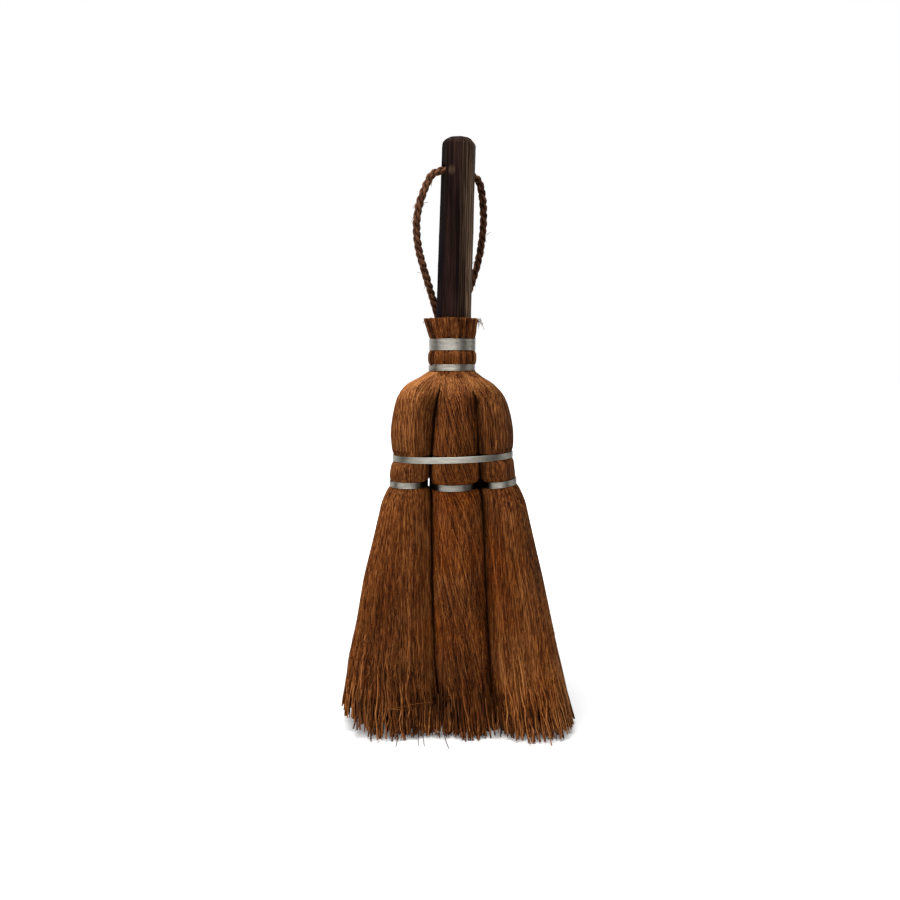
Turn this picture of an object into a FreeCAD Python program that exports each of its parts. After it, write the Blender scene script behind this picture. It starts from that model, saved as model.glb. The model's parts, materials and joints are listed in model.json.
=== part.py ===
import FreeCAD, Part
import math
import os
from collections import namedtuple

# A hand broom of palm fibre that stands on its bristles: three bundles, bound with wire round a handle.
# Millimetres. +Z is up, -Y is the front, and the origin is the middle of the foot, on the floor.

Vector = FreeCAD.Vector

# Fibre levels, from the floor up. Each level holds its rise above the level before it, the widths of the
# three bundles, the place of the middle one, the gap between bundles, and the depths from front to back.
Level = namedtuple("Level", "rise left_width middle_width right_width middle_x gap side_depth middle_depth")
FOOT = Level(0.0, 69.0, 37.0, 54.0, 7.9, 1.0, 56.0, 60.0)
HEM = Level(45.0, 60.4, 36.5, 49.0, 3.3, 1.0, 53.0, 57.0)
SKIRT = Level(58.0, 48.0, 34.9, 40.0, 0.9, 1.0, 45.0, 50.0)
FLARE = Level(57.0, 33.9, 33.4, 29.1, -0.7, 1.0, 36.0, 41.0)
TIE = Level(11.0, 26.5, 31.6, 23.6, -1.9, 2.4, 30.0, 36.0)
BULGE = Level(9.0, 27.2, 32.8, 23.1, -2.1, 1.0, 36.0, 45.0)
WAIST = Level(11.0, 25.8, 30.6, 23.0, -2.2, 1.0, 39.0, 51.0)
LOBE = Level(16.0, 28.9, 28.6, 24.0, -1.9, 1.0, 39.0, 53.0)
CROWN = Level(22.0, 27.3, 24.3, 20.9, -1.6, 1.0, 36.0, 48.0)
SHOULDER = Level(11.0, 23.1, 19.0, 14.0, -1.0, 1.0, 27.0, 36.0)
NECK_RISE = 7.6
NECK_MIDDLE_WIDTH = 14.0
NECK_GAP = 0.4
NECK_SIDE_DEPTH = 13.0
WRAP_THICKNESS = 2.5
HEAD_STRIPS = 2
BUNDLE_FACES = 20

# The outer corners of the foot are trimmed upwards, because all bristles are about as long.
TRIM_RUN = 36.0
TRIM_RISE = 7.5

# Handle: eight planed faces, four wide and four narrow, with a whittled tang below the collar's rim.
HANDLE_REACH = 118.0
HANDLE_BASE_ACROSS = 20.6
HANDLE_BASE_CORNERS = 22.0
HANDLE_TOP_ACROSS = 19.2
HANDLE_TOP_CORNERS = 20.5
HANDLE_EDGE_RADIUS = 1.2
HANDLE_LEAN_DEG = 1.8
TOP_ROUND = 2.4
TOP_STEPS = 2
TANG_LENGTH = 79.0
TANG_TIP_ACROSS = 9.0
TANG_CLEARANCE = 0.1

# Collar: the gathered upper ends of the bundles round the tang.
COLLAR_X = -3.5
COLLAR_WALL = 2.1
LOWER_SEAT_STEP = 0.6
LOWER_SEAT_RISE = 3.2
COLLAR_BULGE = 2.2
BULGE_RAMP_SHARE = 0.35
UPPER_SEAT_RISE = 15.3
RIM_RISE = 15.9
RIM_FLARE = 4.0
RIM_BEND_RISE_SHARE = 0.55
RIM_BEND_FLARE_SHARE = 0.35

# Wire bindings
WIRE_DIAMETER = 0.8
WIRE_SIDES = 6
WIRE_SPACING = 0.45
WIRE_CLEARANCE = 0.1
SEAT_MARGIN = 0.4
UPPER_TURNS = 5
LOWER_TURNS = 2
BAND_TURNS = 2
TIE_TURNS = 2
BAND_DRAW = 0.7
TIE_DRAW = 0.8

# Nail and skewer
NAIL_DIAMETER = 1.8
NAIL_LENGTH = 17.0
NAIL_POINT = 3.6
NAIL_HEAD_DIAMETER = 4.0
NAIL_HEAD_THICKNESS = 0.8
NAIL_SINK = 0.3
SKEWER_DIAMETER = 4.0
SKEWER_LENGTH = 68.0
SKEWER_POINT = 9.0
SKEWER_TIP_DIAMETER = 1.0
FIT_CLEARANCE = 0.05

# Hanging cord: a loop through a hole in the handle. Its points are measured in the loop's own plane, along
# the hole's axis and down from it, from the hole's middle.
CORD_DIAMETER = 4.6
CORD_SIDES = 10
HOLE_CLEARANCE = 0.7
HOLE_DROP = 22.0
HOLE_YAW_DEG = 30.0
LOOP_CLEARANCE = 1.3
ARC_SHARE = 0.45
CORD_POINTS = [
    (3.6, 103.0),
    (-5.2, 84.8),
    (-14.6, 66.4),
    (-23.3, 48.0),
    (-28.2, 30.0),
    (-26.1, 12.3),
    (-16.5, 0.0),
    (15.5, 0.0),
    (24.5, 11.5),
    (26.8, 29.0),
    (25.4, 47.5),
    (21.5, 66.0),
    (14.8, 85.0),
    (8.6, 103.0),
]
KNOT_PLACE = (6.2, 106.0)
KNOT_RADIUS = 5.6
KNOT_HALF_LENGTH = 6.5
KNOT_BELT_SHARE = 0.5
KNOT_END_RADIUS = 3.2
TAIL_POINTS = [(3.6, 121.0), (9.4, 118.0)]
TAIL_SPREAD = 2.4

# Heights that follow from the rises. The hole's height is measured from the rim, along the handle.
HEM_HEIGHT = HEM.rise
TIE_HEIGHT = HEM_HEIGHT + SKIRT.rise + FLARE.rise + TIE.rise
BULGE_HEIGHT = TIE_HEIGHT + BULGE.rise
WAIST_HEIGHT = BULGE_HEIGHT + WAIST.rise
NECK_HEIGHT = WAIST_HEIGHT + LOBE.rise + CROWN.rise + SHOULDER.rise + NECK_RISE
RIM_HEIGHT = NECK_HEIGHT + LOWER_SEAT_RISE + UPPER_SEAT_RISE + RIM_RISE
HOLE_HEIGHT = HANDLE_REACH - HOLE_DROP
SIDES = ["left", "middle", "right"]
REACH = 500.0
ROOT_HALF = math.sqrt(0.5)


def slab(low, high):
    """A block that covers the whole plan between two heights."""
    return Part.makeBox(2 * REACH, 2 * REACH, high - low, Vector(-REACH, -REACH, low))


def oval_radii(half_width, half_depth):
    """Radii of the end arcs and the side arcs of an oval whose four arcs each turn a quarter."""
    end_radius = (1 + ROOT_HALF) * half_depth - ROOT_HALF * half_width
    side_radius = (1 + ROOT_HALF) * half_width - ROOT_HALF * half_depth
    return end_radius, side_radius


def oval(x, half_width, half_depth, height):
    """A smooth oval of four arcs."""
    end_radius, side_radius = oval_radii(half_width, half_depth)
    across = ROOT_HALF * side_radius
    along = ROOT_HALF * end_radius
    corners = [(across, -along), (across, along), (-across, along), (-across, -along)]
    middles = [(half_width, 0), (0, half_depth), (-half_width, 0), (0, -half_depth)]
    points = [Vector(x + px, py, height) for px, py in corners]
    edges = []
    for index, (px, py) in enumerate(middles):
        arc = Part.Arc(points[index], Vector(x + px, py, height), points[(index + 1) % 4])
        edges.append(arc.toShape())
    return Part.Wire(edges)


def oval_prism(x, half_width, half_depth, low, high):
    """A solid with an oval section between two heights."""
    return Part.Face(oval(x, half_width, half_depth, low)).extrude(Vector(0, 0, high - low))


def handle_radius(across, corners):
    """Distance from the handle's axis to a sharp corner between a wide and a narrow face."""
    return math.hypot(corners / 2, across / math.sqrt(2) - corners / 2)


def collar_radius():
    """Radius of the fibre under the upper binding."""
    return handle_radius(HANDLE_BASE_ACROSS, HANDLE_BASE_CORNERS) + COLLAR_WALL


def bundle_section(level, side):
    """Middle, half width and half depth of one bundle on one level."""
    if side == "middle":
        return level.middle_x, level.middle_width / 2, level.middle_depth / 2
    offset = level.middle_width / 2 + level.gap
    if side == "left":
        return level.middle_x - offset - level.left_width / 2, level.left_width / 2, level.side_depth / 2
    return level.middle_x + offset + level.right_width / 2, level.right_width / 2, level.side_depth / 2


def neck_level():
    """The level under the collar, where the three bundles fill the collar's circle."""
    radius = collar_radius() + LOWER_SEAT_STEP
    side_width = radius - NECK_MIDDLE_WIDTH / 2 - NECK_GAP
    return Level(
        NECK_RISE, side_width, NECK_MIDDLE_WIDTH, side_width, COLLAR_X, NECK_GAP, NECK_SIDE_DEPTH, 2 * radius
    )


def slopes(heights, values):
    """Slopes of a smooth curve at its points, level where the values turn, so that it never overshoots."""
    steps = [
        (values[index + 1] - values[index]) / (heights[index + 1] - heights[index])
        for index in range(len(values) - 1)
    ]
    inner = []
    for before, after in zip(steps, steps[1:]):
        inner.append(2 * before * after / (before + after) if before * after > 0 else 0.0)
    return [steps[0]] + inner + [steps[-1]]


def smooth_rings(levels, head_strips):
    """Pairs of a height and a level, with smooth levels put in between those of the head, above the ties."""
    heights = [sum(level.rise for level in levels[: index + 1]) for index in range(len(levels))]
    columns = [list(column) for column in zip(*levels)]
    leans = [slopes(heights, column) for column in columns]
    rings = [(heights[0], levels[0])]
    for index in range(len(levels) - 1):
        rise = heights[index + 1] - heights[index]
        strips = head_strips if heights[index] >= TIE_HEIGHT else 1
        for strip in range(1, strips + 1):
            t = strip / strips
            fields = []
            for column, lean in zip(columns, leans):
                fields.append(
                    (1 + 2 * t) * (1 - t) ** 2 * column[index]
                    + t * (1 - t) ** 2 * rise * lean[index]
                    + t**2 * (3 - 2 * t) * column[index + 1]
                    - t**2 * (1 - t) * rise * lean[index + 1]
                )
            rings.append((heights[index] + t * rise, Level(*fields)))
    return rings


def facet_ring(x, half_width, half_depth, height):
    """Corners of a many-sided oval whose sides keep their directions on every level."""
    turn = 2 * math.pi / BUNDLE_FACES
    angles = [index * turn for index in range(BUNDLE_FACES)]
    reaches = [math.hypot(half_width * math.cos(angle), half_depth * math.sin(angle)) for angle in angles]
    corners = []
    for index, angle in enumerate(angles):
        here = reaches[index]
        after = reaches[(index + 1) % BUNDLE_FACES]
        across = (here * math.sin(angle + turn) - after * math.sin(angle)) / math.sin(turn)
        along = (after * math.cos(angle) - here * math.cos(angle + turn)) / math.sin(turn)
        corners.append(Vector(x + across, along, height))
    return corners


def bundle_loft(side, rings, inset):
    """A bundle's solid through the ovals of its rings, drawn in by an inset, with facets between them."""
    outlines = []
    for height, level in rings:
        x, half_width, half_depth = bundle_section(level, side)
        outlines.append(facet_ring(x, half_width - inset, half_depth - inset, height))
    corner_lists = [outlines[0], outlines[-1]]
    for lower, upper in zip(outlines, outlines[1:]):
        for index in range(BUNDLE_FACES):
            after = (index + 1) % BUNDLE_FACES
            corner_lists.append([lower[index], lower[after], upper[after], upper[index]])
    faces = [Part.Face(Part.makePolygon(corners + corners[:1])) for corners in corner_lists]
    shell = Part.makeShell(faces)
    shell.sewShape()
    return Part.makeSolid(shell)


def foot_trim(side):
    """The wedge that is cut off under the outer corner of a side bundle."""
    x, half_width, _ = bundle_section(FOOT, side)
    sign = -1 if side == "left" else 1
    edge = x + sign * half_width
    slope = TRIM_RISE / TRIM_RUN
    outer = edge + sign * TRIM_RUN
    start = edge - sign * TRIM_RUN
    corners = [
        Vector(start, -REACH, 0),
        Vector(outer, -REACH, 0),
        Vector(outer, -REACH, 2 * TRIM_RUN * slope),
        Vector(start, -REACH, 0),
    ]
    return Part.Face(Part.makePolygon(corners)).extrude(Vector(0, 2 * REACH, 0))


def seat_height(turns):
    """Height of the groove that a winding lies in."""
    pitch = WIRE_DIAMETER + WIRE_SPACING
    return turns * pitch + WIRE_DIAMETER + 2 * SEAT_MARGIN


def seat_groove(seat, middle_height, turns):
    """What is cut away round a seat oval to let a winding in."""
    x, half_width, half_depth = seat
    half = seat_height(turns) / 2
    low = middle_height - half
    high = middle_height + half
    return slab(low, high).cut(oval_prism(x, half_width, half_depth, low, high))


def tie_seat(side):
    """The oval that a bundle's own tie is drawn down on."""
    x, half_width, half_depth = bundle_section(TIE, side)
    return x, half_width - TIE_DRAW, half_depth - TIE_DRAW


def band_seat():
    """The oval round all three bundles that the long band is drawn down on."""
    left_x, left_half, _ = bundle_section(WAIST, "left")
    right_x, right_half, _ = bundle_section(WAIST, "right")
    low = left_x - left_half
    high = right_x + right_half
    return (low + high) / 2, (high - low) / 2 - BAND_DRAW, WAIST.middle_depth / 2 - BAND_DRAW


def biarc(start, start_tangent, end, end_tangent, start_radius):
    """Two arcs that join two points with given directions, the first of about a given radius."""
    first = start_radius * math.tan(math.pi / 8)
    rest = end - start - start_tangent * first
    second = (rest.dot(rest) - first**2) / (2 * (rest.dot(end_tangent) + first))
    first_corner = start + start_tangent * first
    second_corner = end - end_tangent * second
    join = first_corner + (second_corner - first_corner) * (first / (first + second))
    halves = []
    for point, tangent, other in [(start, start_tangent, join), (end, end_tangent * -1, join)]:
        span = other - point
        across = span - tangent * span.dot(tangent)
        radius = span.dot(span) / (2 * across.Length)
        side = across * (1 / across.Length)
        centre = point + side * radius
        half_way = (point + other) * 0.5 - centre
        middle = centre + half_way * (radius / half_way.Length)
        halves.append(Part.Arc(point, middle, other))
    return halves


def winding(name, seat, middle_height, turns):
    """One unbroken wire wound round a seat oval, with straight ends at the back."""
    x, seat_width, seat_depth = seat
    half_width = seat_width + WIRE_CLEARANCE + WIRE_DIAMETER / 2
    half_depth = seat_depth + WIRE_CLEARANCE + WIRE_DIAMETER / 2
    pitch = WIRE_DIAMETER + WIRE_SPACING
    around = math.pi * (half_width + half_depth)
    slope = pitch / around
    end_radius, side_radius = oval_radii(half_width, half_depth)
    radii = [side_radius, end_radius]
    places = [(0, half_depth), (-half_width, 0), (0, -half_depth), (half_width, 0)]
    headings = [(-1, 0), (0, -1), (1, 0), (0, 1)]
    start_height = middle_height - turns * pitch / 2
    points = []
    tangents = []
    for quarter in range(4 * turns + 1):
        px, py = places[quarter % 4]
        tx, ty = headings[quarter % 4]
        points.append(Vector(x + px, py, start_height + quarter * pitch / 4))
        tangents.append(Vector(tx, ty, slope).normalize())
    first = points[0] - tangents[0] * WIRE_DIAMETER
    last = points[-1] + tangents[-1] * WIRE_DIAMETER
    edges = [Part.LineSegment(first, points[0]).toShape()]
    for index in range(4 * turns):
        radius = radii[index % 2]
        arcs = biarc(points[index], tangents[index], points[index + 1], tangents[index + 1], radius)
        edges.extend(arc.toShape() for arc in arcs)
    edges.append(Part.LineSegment(points[-1], last).toShape())
    path = Part.Wire(edges)
    wire, ratio = tube_along(path, first, tangents[0], WIRE_DIAMETER, WIRE_SIDES)
    print(name, "gap to itself", round(winding_gap(path, around), 2), "volume ratio", ratio)
    return wire


def winding_gap(path, around):
    """Least gap between points of a winding that are over half a turn apart along the wire."""
    count = int(path.Length)
    points = path.discretize(count)
    skip = int(count * around / path.Length / 2)
    least = min(
        (points[i] - points[j]).Length for i in range(count) for j in range(i + skip, count)
    )
    return least - WIRE_DIAMETER


def tube_along(path, start, heading, diameter, sides):
    """A solid tube with a many-sided section along a path, and its volume over section times length."""
    turn = FreeCAD.Rotation(Vector(0, 0, 1), heading)
    corners = []
    for index in range(sides + 1):
        angle = 2 * math.pi * index / sides
        corner = Vector(math.cos(angle), math.sin(angle), 0) * (diameter / 2)
        corners.append(start + turn.multVec(corner))
    profile = Part.makePolygon(corners)
    tube = path.makePipeShell([profile], True, False)
    return tube, round(tube.Volume / (Part.Face(profile).Area * path.Length), 4)


def collar():
    """The ring of gathered fibre with its two wire seats, bulge and flared rim, before it is divided."""
    upper = collar_radius()
    lower = upper + LOWER_SEAT_STEP
    lower_middle = NECK_HEIGHT + LOWER_SEAT_RISE
    upper_middle = lower_middle + UPPER_SEAT_RISE
    lower_half = seat_height(LOWER_TURNS) / 2
    upper_half = seat_height(UPPER_TURNS) / 2
    lip = WIRE_DIAMETER

    def at(radius, height):
        return Vector(COLLAR_X + radius, 0, height)

    lower_low = lower_middle - lower_half
    lower_high = lower_middle + lower_half
    upper_low = upper_middle - upper_half
    upper_high = upper_middle + upper_half
    ramp = BULGE_RAMP_SHARE * (upper_low - lower_high)
    bend_radius = upper + lip + RIM_BEND_FLARE_SHARE * (RIM_FLARE - lip)
    bend_height = upper_high + RIM_BEND_RISE_SHARE * (RIM_HEIGHT - upper_high)
    outline = [
        at(0, NECK_HEIGHT),
        at(lower + lip, NECK_HEIGHT),
        at(lower + lip, lower_low),
        at(lower, lower_low),
        at(lower, lower_high),
        at(lower + lip, lower_high),
        at(upper + COLLAR_BULGE, lower_high + ramp),
        at(upper + COLLAR_BULGE, upper_low - ramp),
        at(upper + lip, upper_low),
        at(upper, upper_low),
        at(upper, upper_high),
        at(upper + lip, upper_high),
        at(bend_radius, bend_height),
        at(upper + RIM_FLARE, RIM_HEIGHT),
        at(0, RIM_HEIGHT),
        at(0, NECK_HEIGHT),
    ]
    return Part.Face(Part.makePolygon(outline)).revolve(Vector(COLLAR_X, 0, 0), Vector(0, 0, 1), 360)


def collar_share(side):
    """The part of the collar that belongs to one bundle."""
    low = COLLAR_X - NECK_MIDDLE_WIDTH / 2
    high = COLLAR_X + NECK_MIDDLE_WIDTH / 2
    spans = {
        "left": (-REACH, low - NECK_GAP),
        "middle": (low, high),
        "right": (high + NECK_GAP, REACH),
    }
    start, end = spans[side]
    block = Part.makeBox(end - start, 2 * REACH, 2 * REACH, Vector(start, -REACH, 0))
    return collar().common(block)


def handle_place():
    """Where the handle's own frame lies: at the middle of the rim, leaning to the right."""
    lean = FreeCAD.Rotation(Vector(0, 1, 0), HANDLE_LEAN_DEG)
    return FreeCAD.Placement(Vector(COLLAR_X, 0, RIM_HEIGHT), lean)


def octagon(across, corners, height):
    """The handle's outline with rounded edges, its narrow faces square to the hole."""
    wide = across / math.sqrt(2) - corners / 2
    narrow = corners / 2
    sharp = [
        Vector(narrow, -wide, height),
        Vector(narrow, wide, height),
        Vector(wide, narrow, height),
        Vector(-wide, narrow, height),
        Vector(-narrow, wide, height),
        Vector(-narrow, -wide, height),
        Vector(-wide, -narrow, height),
        Vector(wide, -narrow, height),
    ]
    half_turn = math.pi / 8
    back = HANDLE_EDGE_RADIUS * math.tan(half_turn)
    inwards = HANDLE_EDGE_RADIUS / math.cos(half_turn) - HANDLE_EDGE_RADIUS
    arcs = []
    for index, corner in enumerate(sharp):
        before = (sharp[index - 1] - corner).normalize()
        after = (sharp[(index + 1) % 8] - corner).normalize()
        inner = (before + after).normalize()
        arcs.append(Part.Arc(corner + before * back, corner + inner * inwards, corner + after * back))
    edges = []
    for index, arc in enumerate(arcs):
        edges.append(arc.toShape())
        edges.append(Part.LineSegment(arc.EndPoint, arcs[(index + 1) % 8].StartPoint).toShape())
    wire = Part.Wire(edges)
    wire.rotate(Vector(0, 0, 0), Vector(0, 0, 1), HOLE_YAW_DEG)
    return wire


def handle_body(extra):
    """The handle's solid in its own frame, grown by a clearance when it is used as a cutter."""
    tip_ratio = TANG_TIP_ACROSS / HANDLE_BASE_ACROSS
    grow = 2 * extra
    sections = [
        (TANG_TIP_ACROSS, HANDLE_BASE_CORNERS * tip_ratio, -TANG_LENGTH - extra),
        (HANDLE_BASE_ACROSS, HANDLE_BASE_CORNERS, 0.0),
    ]
    for step in range(TOP_STEPS + 1):
        angle = step / TOP_STEPS * math.pi / 2
        inset = 2 * TOP_ROUND * (1 - math.cos(angle))
        drop = TOP_ROUND * (1 - math.sin(angle))
        sections.append((HANDLE_TOP_ACROSS - inset, HANDLE_TOP_CORNERS - inset, HANDLE_REACH - drop))
    wires = [octagon(across + grow, corners + grow, height) for across, corners, height in sections]
    return Part.makeLoft(wires, True, True)


def handle_cutter():
    """The room for the tang in the fibre."""
    cutter = handle_body(TANG_CLEARANCE)
    cutter.Placement = handle_place()
    return cutter


def handle():
    """The wooden handle with its cord hole and nail hole."""
    wood = handle_body(0.0)
    radius = CORD_DIAMETER / 2 + HOLE_CLEARANCE
    start = loop_point((-REACH, 0.0))
    hole = Part.makeCylinder(radius, 2 * REACH, start, loop_axis())
    wood = wood.cut(hole)
    wood.Placement = handle_place()
    return wood.cut(nail_shank(FIT_CLEARANCE))


def loop_axis():
    """Direction of the cord hole in the handle's frame, from the front left to the back right."""
    yaw = math.radians(HOLE_YAW_DEG)
    return Vector(math.cos(yaw), math.sin(yaw), 0)


def loop_tilt():
    """How far the loop's plane leans back from the handle, to hang clear of the collar's rim."""
    reach = collar_radius() + RIM_FLARE + CORD_DIAMETER / 2 + LOOP_CLEARANCE
    return math.atan(reach / HOLE_HEIGHT)


def loop_point(place):
    """A place in the loop's plane as a point in the handle's frame."""
    along, down = place
    yaw = math.radians(HOLE_YAW_DEG)
    tilt = loop_tilt()
    backwards = Vector(-math.sin(yaw), math.cos(yaw), 0)
    sunk = backwards * math.sin(tilt) - Vector(0, 0, 1) * math.cos(tilt)
    return Vector(0, 0, HOLE_HEIGHT) + loop_axis() * along + sunk * down


def hanging_cord():
    """The cord from the knot up one side, through the handle and down the other side to the knot."""
    points = [loop_point(place) for place in CORD_POINTS]
    edges = []
    radii = []
    at = points[0]
    for before, corner, after in zip(points, points[1:], points[2:]):
        shorter = min((corner - before).Length, (after - corner).Length)
        inward = (before - corner).normalize()
        outward = (after - corner).normalize()
        half_turn = (math.pi - inward.getAngle(outward)) / 2
        back = ARC_SHARE * shorter
        radius = back / math.tan(half_turn)
        inner = (inward + outward).normalize()
        middle = corner + inner * (radius / math.cos(half_turn) - radius)
        start = corner + inward * back
        end = corner + outward * back
        edges.append(Part.LineSegment(at, start).toShape())
        edges.append(Part.Arc(start, middle, end).toShape())
        radii.append(round(radius, 1))
        at = end
    edges.append(Part.LineSegment(at, points[-1]).toShape())
    path = Part.Wire(edges)
    tube, ratio = tube_along(path, points[0], points[1] - points[0], CORD_DIAMETER, CORD_SIDES)
    print("hanging_cord radii", radii, "length", round(path.Length, 1), "volume ratio", ratio)
    tube.Placement = handle_place()
    return tube


def cord_knot(cord):
    """The knot that closes the loop, with the two cord ends below it."""
    along, down = KNOT_PLACE
    middle = loop_point(KNOT_PLACE)
    top = loop_point((along, down - KNOT_HALF_LENGTH))
    bottom = loop_point((along, down + KNOT_HALF_LENGTH))
    side = loop_axis()
    belt = (bottom - middle) * KNOT_BELT_SHARE
    outline = [
        top,
        top + side * KNOT_END_RADIUS,
        middle - belt + side * KNOT_RADIUS,
        middle + belt + side * KNOT_RADIUS,
        bottom + side * KNOT_END_RADIUS,
        bottom,
        top,
    ]
    knot = Part.Face(Part.makePolygon(outline)).revolve(middle, bottom - top, 360)
    for sign, end in zip([-1, 1], TAIL_POINTS):
        start = loop_point((along + sign * TAIL_SPREAD, down))
        heading = loop_point(end) - start
        knot = knot.fuse(Part.makeCylinder(CORD_DIAMETER / 2, heading.Length, start, heading))
    knot.Placement = handle_place()
    return knot.cut(cord)


def nail_height():
    """The nail goes in half way between the two collar wires."""
    return NECK_HEIGHT + LOWER_SEAT_RISE + UPPER_SEAT_RISE / 2


def nail_head_depth():
    """How far back the underside of the nail's head lies."""
    return collar_radius() + COLLAR_BULGE - NAIL_SINK


def nail_shank(clearance):
    """The nail's pointed shank, driven in from the back."""
    radius = NAIL_DIAMETER / 2 + clearance
    start = Vector(COLLAR_X, nail_head_depth(), nail_height())
    inward = Vector(0, -1, 0)
    straight = NAIL_LENGTH - NAIL_POINT
    body = Part.makeCylinder(radius, straight, start, inward)
    point = Part.makeCone(radius, clearance, NAIL_POINT, start + inward * straight, inward)
    return body.fuse(point).removeSplitter()


def nail_head(clearance, thickness):
    """The nail's flat head, or the room for it in the fibre."""
    start = Vector(COLLAR_X, nail_head_depth(), nail_height())
    return Part.makeCylinder(NAIL_HEAD_DIAMETER / 2 + clearance, thickness, start, Vector(0, 1, 0))


def skewer(clearance):
    """The pointed bamboo skewer that joins the three bundles."""
    radius = SKEWER_DIAMETER / 2 + clearance
    tip_radius = SKEWER_TIP_DIAMETER / 2 + clearance
    heading = Vector(1, 0, 0)
    start = Vector(BULGE.middle_x - SKEWER_LENGTH / 2 - clearance, 0, BULGE_HEIGHT)
    straight = SKEWER_LENGTH - SKEWER_POINT + clearance
    body = Part.makeCylinder(radius, straight, start, heading)
    point = Part.makeCone(radius, tip_radius, SKEWER_POINT + clearance, start + heading * straight, heading)
    return body.fuse(point).removeSplitter()


def bundle(side):
    """The wrap and the core of one bundle."""
    levels = [FOOT, HEM, SKIRT, FLARE, TIE, BULGE, WAIST, LOBE, CROWN, SHOULDER, neck_level()]
    outer = bundle_loft(side, smooth_rings(levels, HEAD_STRIPS), 0.0)
    if side != "middle":
        outer = outer.cut(foot_trim(side))
    core_rings = smooth_rings(levels, 1)[levels.index(HEM) : levels.index(CROWN) + 1]
    roll = bundle_loft(side, core_rings, WRAP_THICKNESS)
    bristles = outer.common(slab(-REACH, HEM_HEIGHT))
    core = roll.fuse(bristles)
    wrap = outer.common(slab(HEM_HEIGHT, REACH)).cut(roll)
    wrap = wrap.fuse(collar_share(side))
    room = [
        handle_cutter(),
        skewer(FIT_CLEARANCE),
        nail_shank(FIT_CLEARANCE),
        nail_head(FIT_CLEARANCE, REACH),
        seat_groove(tie_seat(side), TIE_HEIGHT, TIE_TURNS),
        seat_groove(band_seat(), WAIST_HEIGHT, BAND_TURNS),
    ]
    for cutter in room:
        wrap = wrap.cut(cutter)
        core = core.cut(cutter)
    return wrap.removeSplitter(), core.removeSplitter()


def write(name, shape):
    """Writes one piece and prints how many solids it holds."""
    print(name, "solids", len(shape.Solids), "valid", shape.isValid(), "volume", round(shape.Volume))
    shape.exportStep("parts/" + name + ".step")


def main():
    os.makedirs("parts", exist_ok=True)
    write("handle", handle())
    write("handle_nail", nail_shank(0.0).fuse(nail_head(0.0, NAIL_HEAD_THICKNESS)).removeSplitter())
    write("bamboo_skewer", skewer(0.0))
    cord = hanging_cord()
    write("hanging_cord", cord)
    write("cord_knot", cord_knot(cord))
    lower_radius = collar_radius() + LOWER_SEAT_STEP
    lower_height = NECK_HEIGHT + LOWER_SEAT_RISE
    upper_height = lower_height + UPPER_SEAT_RISE
    upper_seat = (COLLAR_X, collar_radius(), collar_radius())
    lower_seat = (COLLAR_X, lower_radius, lower_radius)
    write("upper_collar_wire", winding("upper_collar_wire", upper_seat, upper_height, UPPER_TURNS))
    write("lower_collar_wire", winding("lower_collar_wire", lower_seat, lower_height, LOWER_TURNS))
    write("waist_band_wire", winding("waist_band_wire", band_seat(), WAIST_HEIGHT, BAND_TURNS))
    for side in SIDES:
        name = side + "_tie_wire"
        write(name, winding(name, tie_seat(side), TIE_HEIGHT, TIE_TURNS))
        wrap, core = bundle(side)
        write(side + "_wrap", wrap)
        write(side + "_core", core)


main()
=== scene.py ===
import functools
import json
import math

import bmesh
import bpy
import numpy as np
from bpy.props import FloatProperty, FloatVectorProperty, IntProperty, PointerProperty
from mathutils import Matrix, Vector, geometry, noise


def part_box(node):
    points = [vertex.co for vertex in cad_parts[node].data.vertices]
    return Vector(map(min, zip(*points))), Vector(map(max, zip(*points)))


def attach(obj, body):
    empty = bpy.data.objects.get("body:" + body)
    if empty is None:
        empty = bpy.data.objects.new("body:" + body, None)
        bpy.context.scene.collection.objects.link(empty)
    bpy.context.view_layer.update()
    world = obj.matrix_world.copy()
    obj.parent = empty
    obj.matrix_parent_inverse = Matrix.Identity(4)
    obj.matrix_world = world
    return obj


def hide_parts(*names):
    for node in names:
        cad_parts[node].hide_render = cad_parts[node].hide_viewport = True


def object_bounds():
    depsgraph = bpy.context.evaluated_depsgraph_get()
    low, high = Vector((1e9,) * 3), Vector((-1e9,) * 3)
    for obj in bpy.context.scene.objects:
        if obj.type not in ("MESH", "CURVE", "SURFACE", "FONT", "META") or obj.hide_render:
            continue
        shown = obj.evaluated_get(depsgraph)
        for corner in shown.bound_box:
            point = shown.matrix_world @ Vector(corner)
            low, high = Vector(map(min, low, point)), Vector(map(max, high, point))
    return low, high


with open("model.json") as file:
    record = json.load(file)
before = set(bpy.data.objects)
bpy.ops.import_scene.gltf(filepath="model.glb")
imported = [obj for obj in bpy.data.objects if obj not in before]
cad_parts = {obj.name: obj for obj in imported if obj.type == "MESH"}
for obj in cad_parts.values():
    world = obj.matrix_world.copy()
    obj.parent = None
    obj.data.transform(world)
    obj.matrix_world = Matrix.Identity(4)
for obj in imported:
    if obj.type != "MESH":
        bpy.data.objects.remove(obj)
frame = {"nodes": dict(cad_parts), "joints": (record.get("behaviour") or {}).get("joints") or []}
SOLID_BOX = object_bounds()

bl_info = {
    "name": "Palm-fibre hand broom",
    "version": (1, 0, 0),
    "blender": (4, 5, 0),
    "location": "3D View > Sidebar > Broom",
    "description": "Fibres, wire bindings, cord and handle of a three-bundle hand broom",
    "category": "Object",
}

MM = 0.001
FULL_TURN = 2.0 * math.pi
SIDES = ("left", "middle", "right")
BROOM_BODY = "broom"
LOOP_BODY = "hanging_loop"
SHADE_MATERIAL = "shade_fibre"
CORD_SEED = 5
RIM_SEED = 9

# What counts as nothing, and a length that is out of reach.
LEAST = 1e-9
FAR = 9.0

# Rows and columns of the guides that strands are laid on.
GUIDE_ROWS = 251
COLLAR_ROWS = 72
GUIDE_COLUMNS = 96
GUIDE_ANGLES = np.linspace(0.0, FULL_TURN, GUIDE_COLUMNS + 1)

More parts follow.
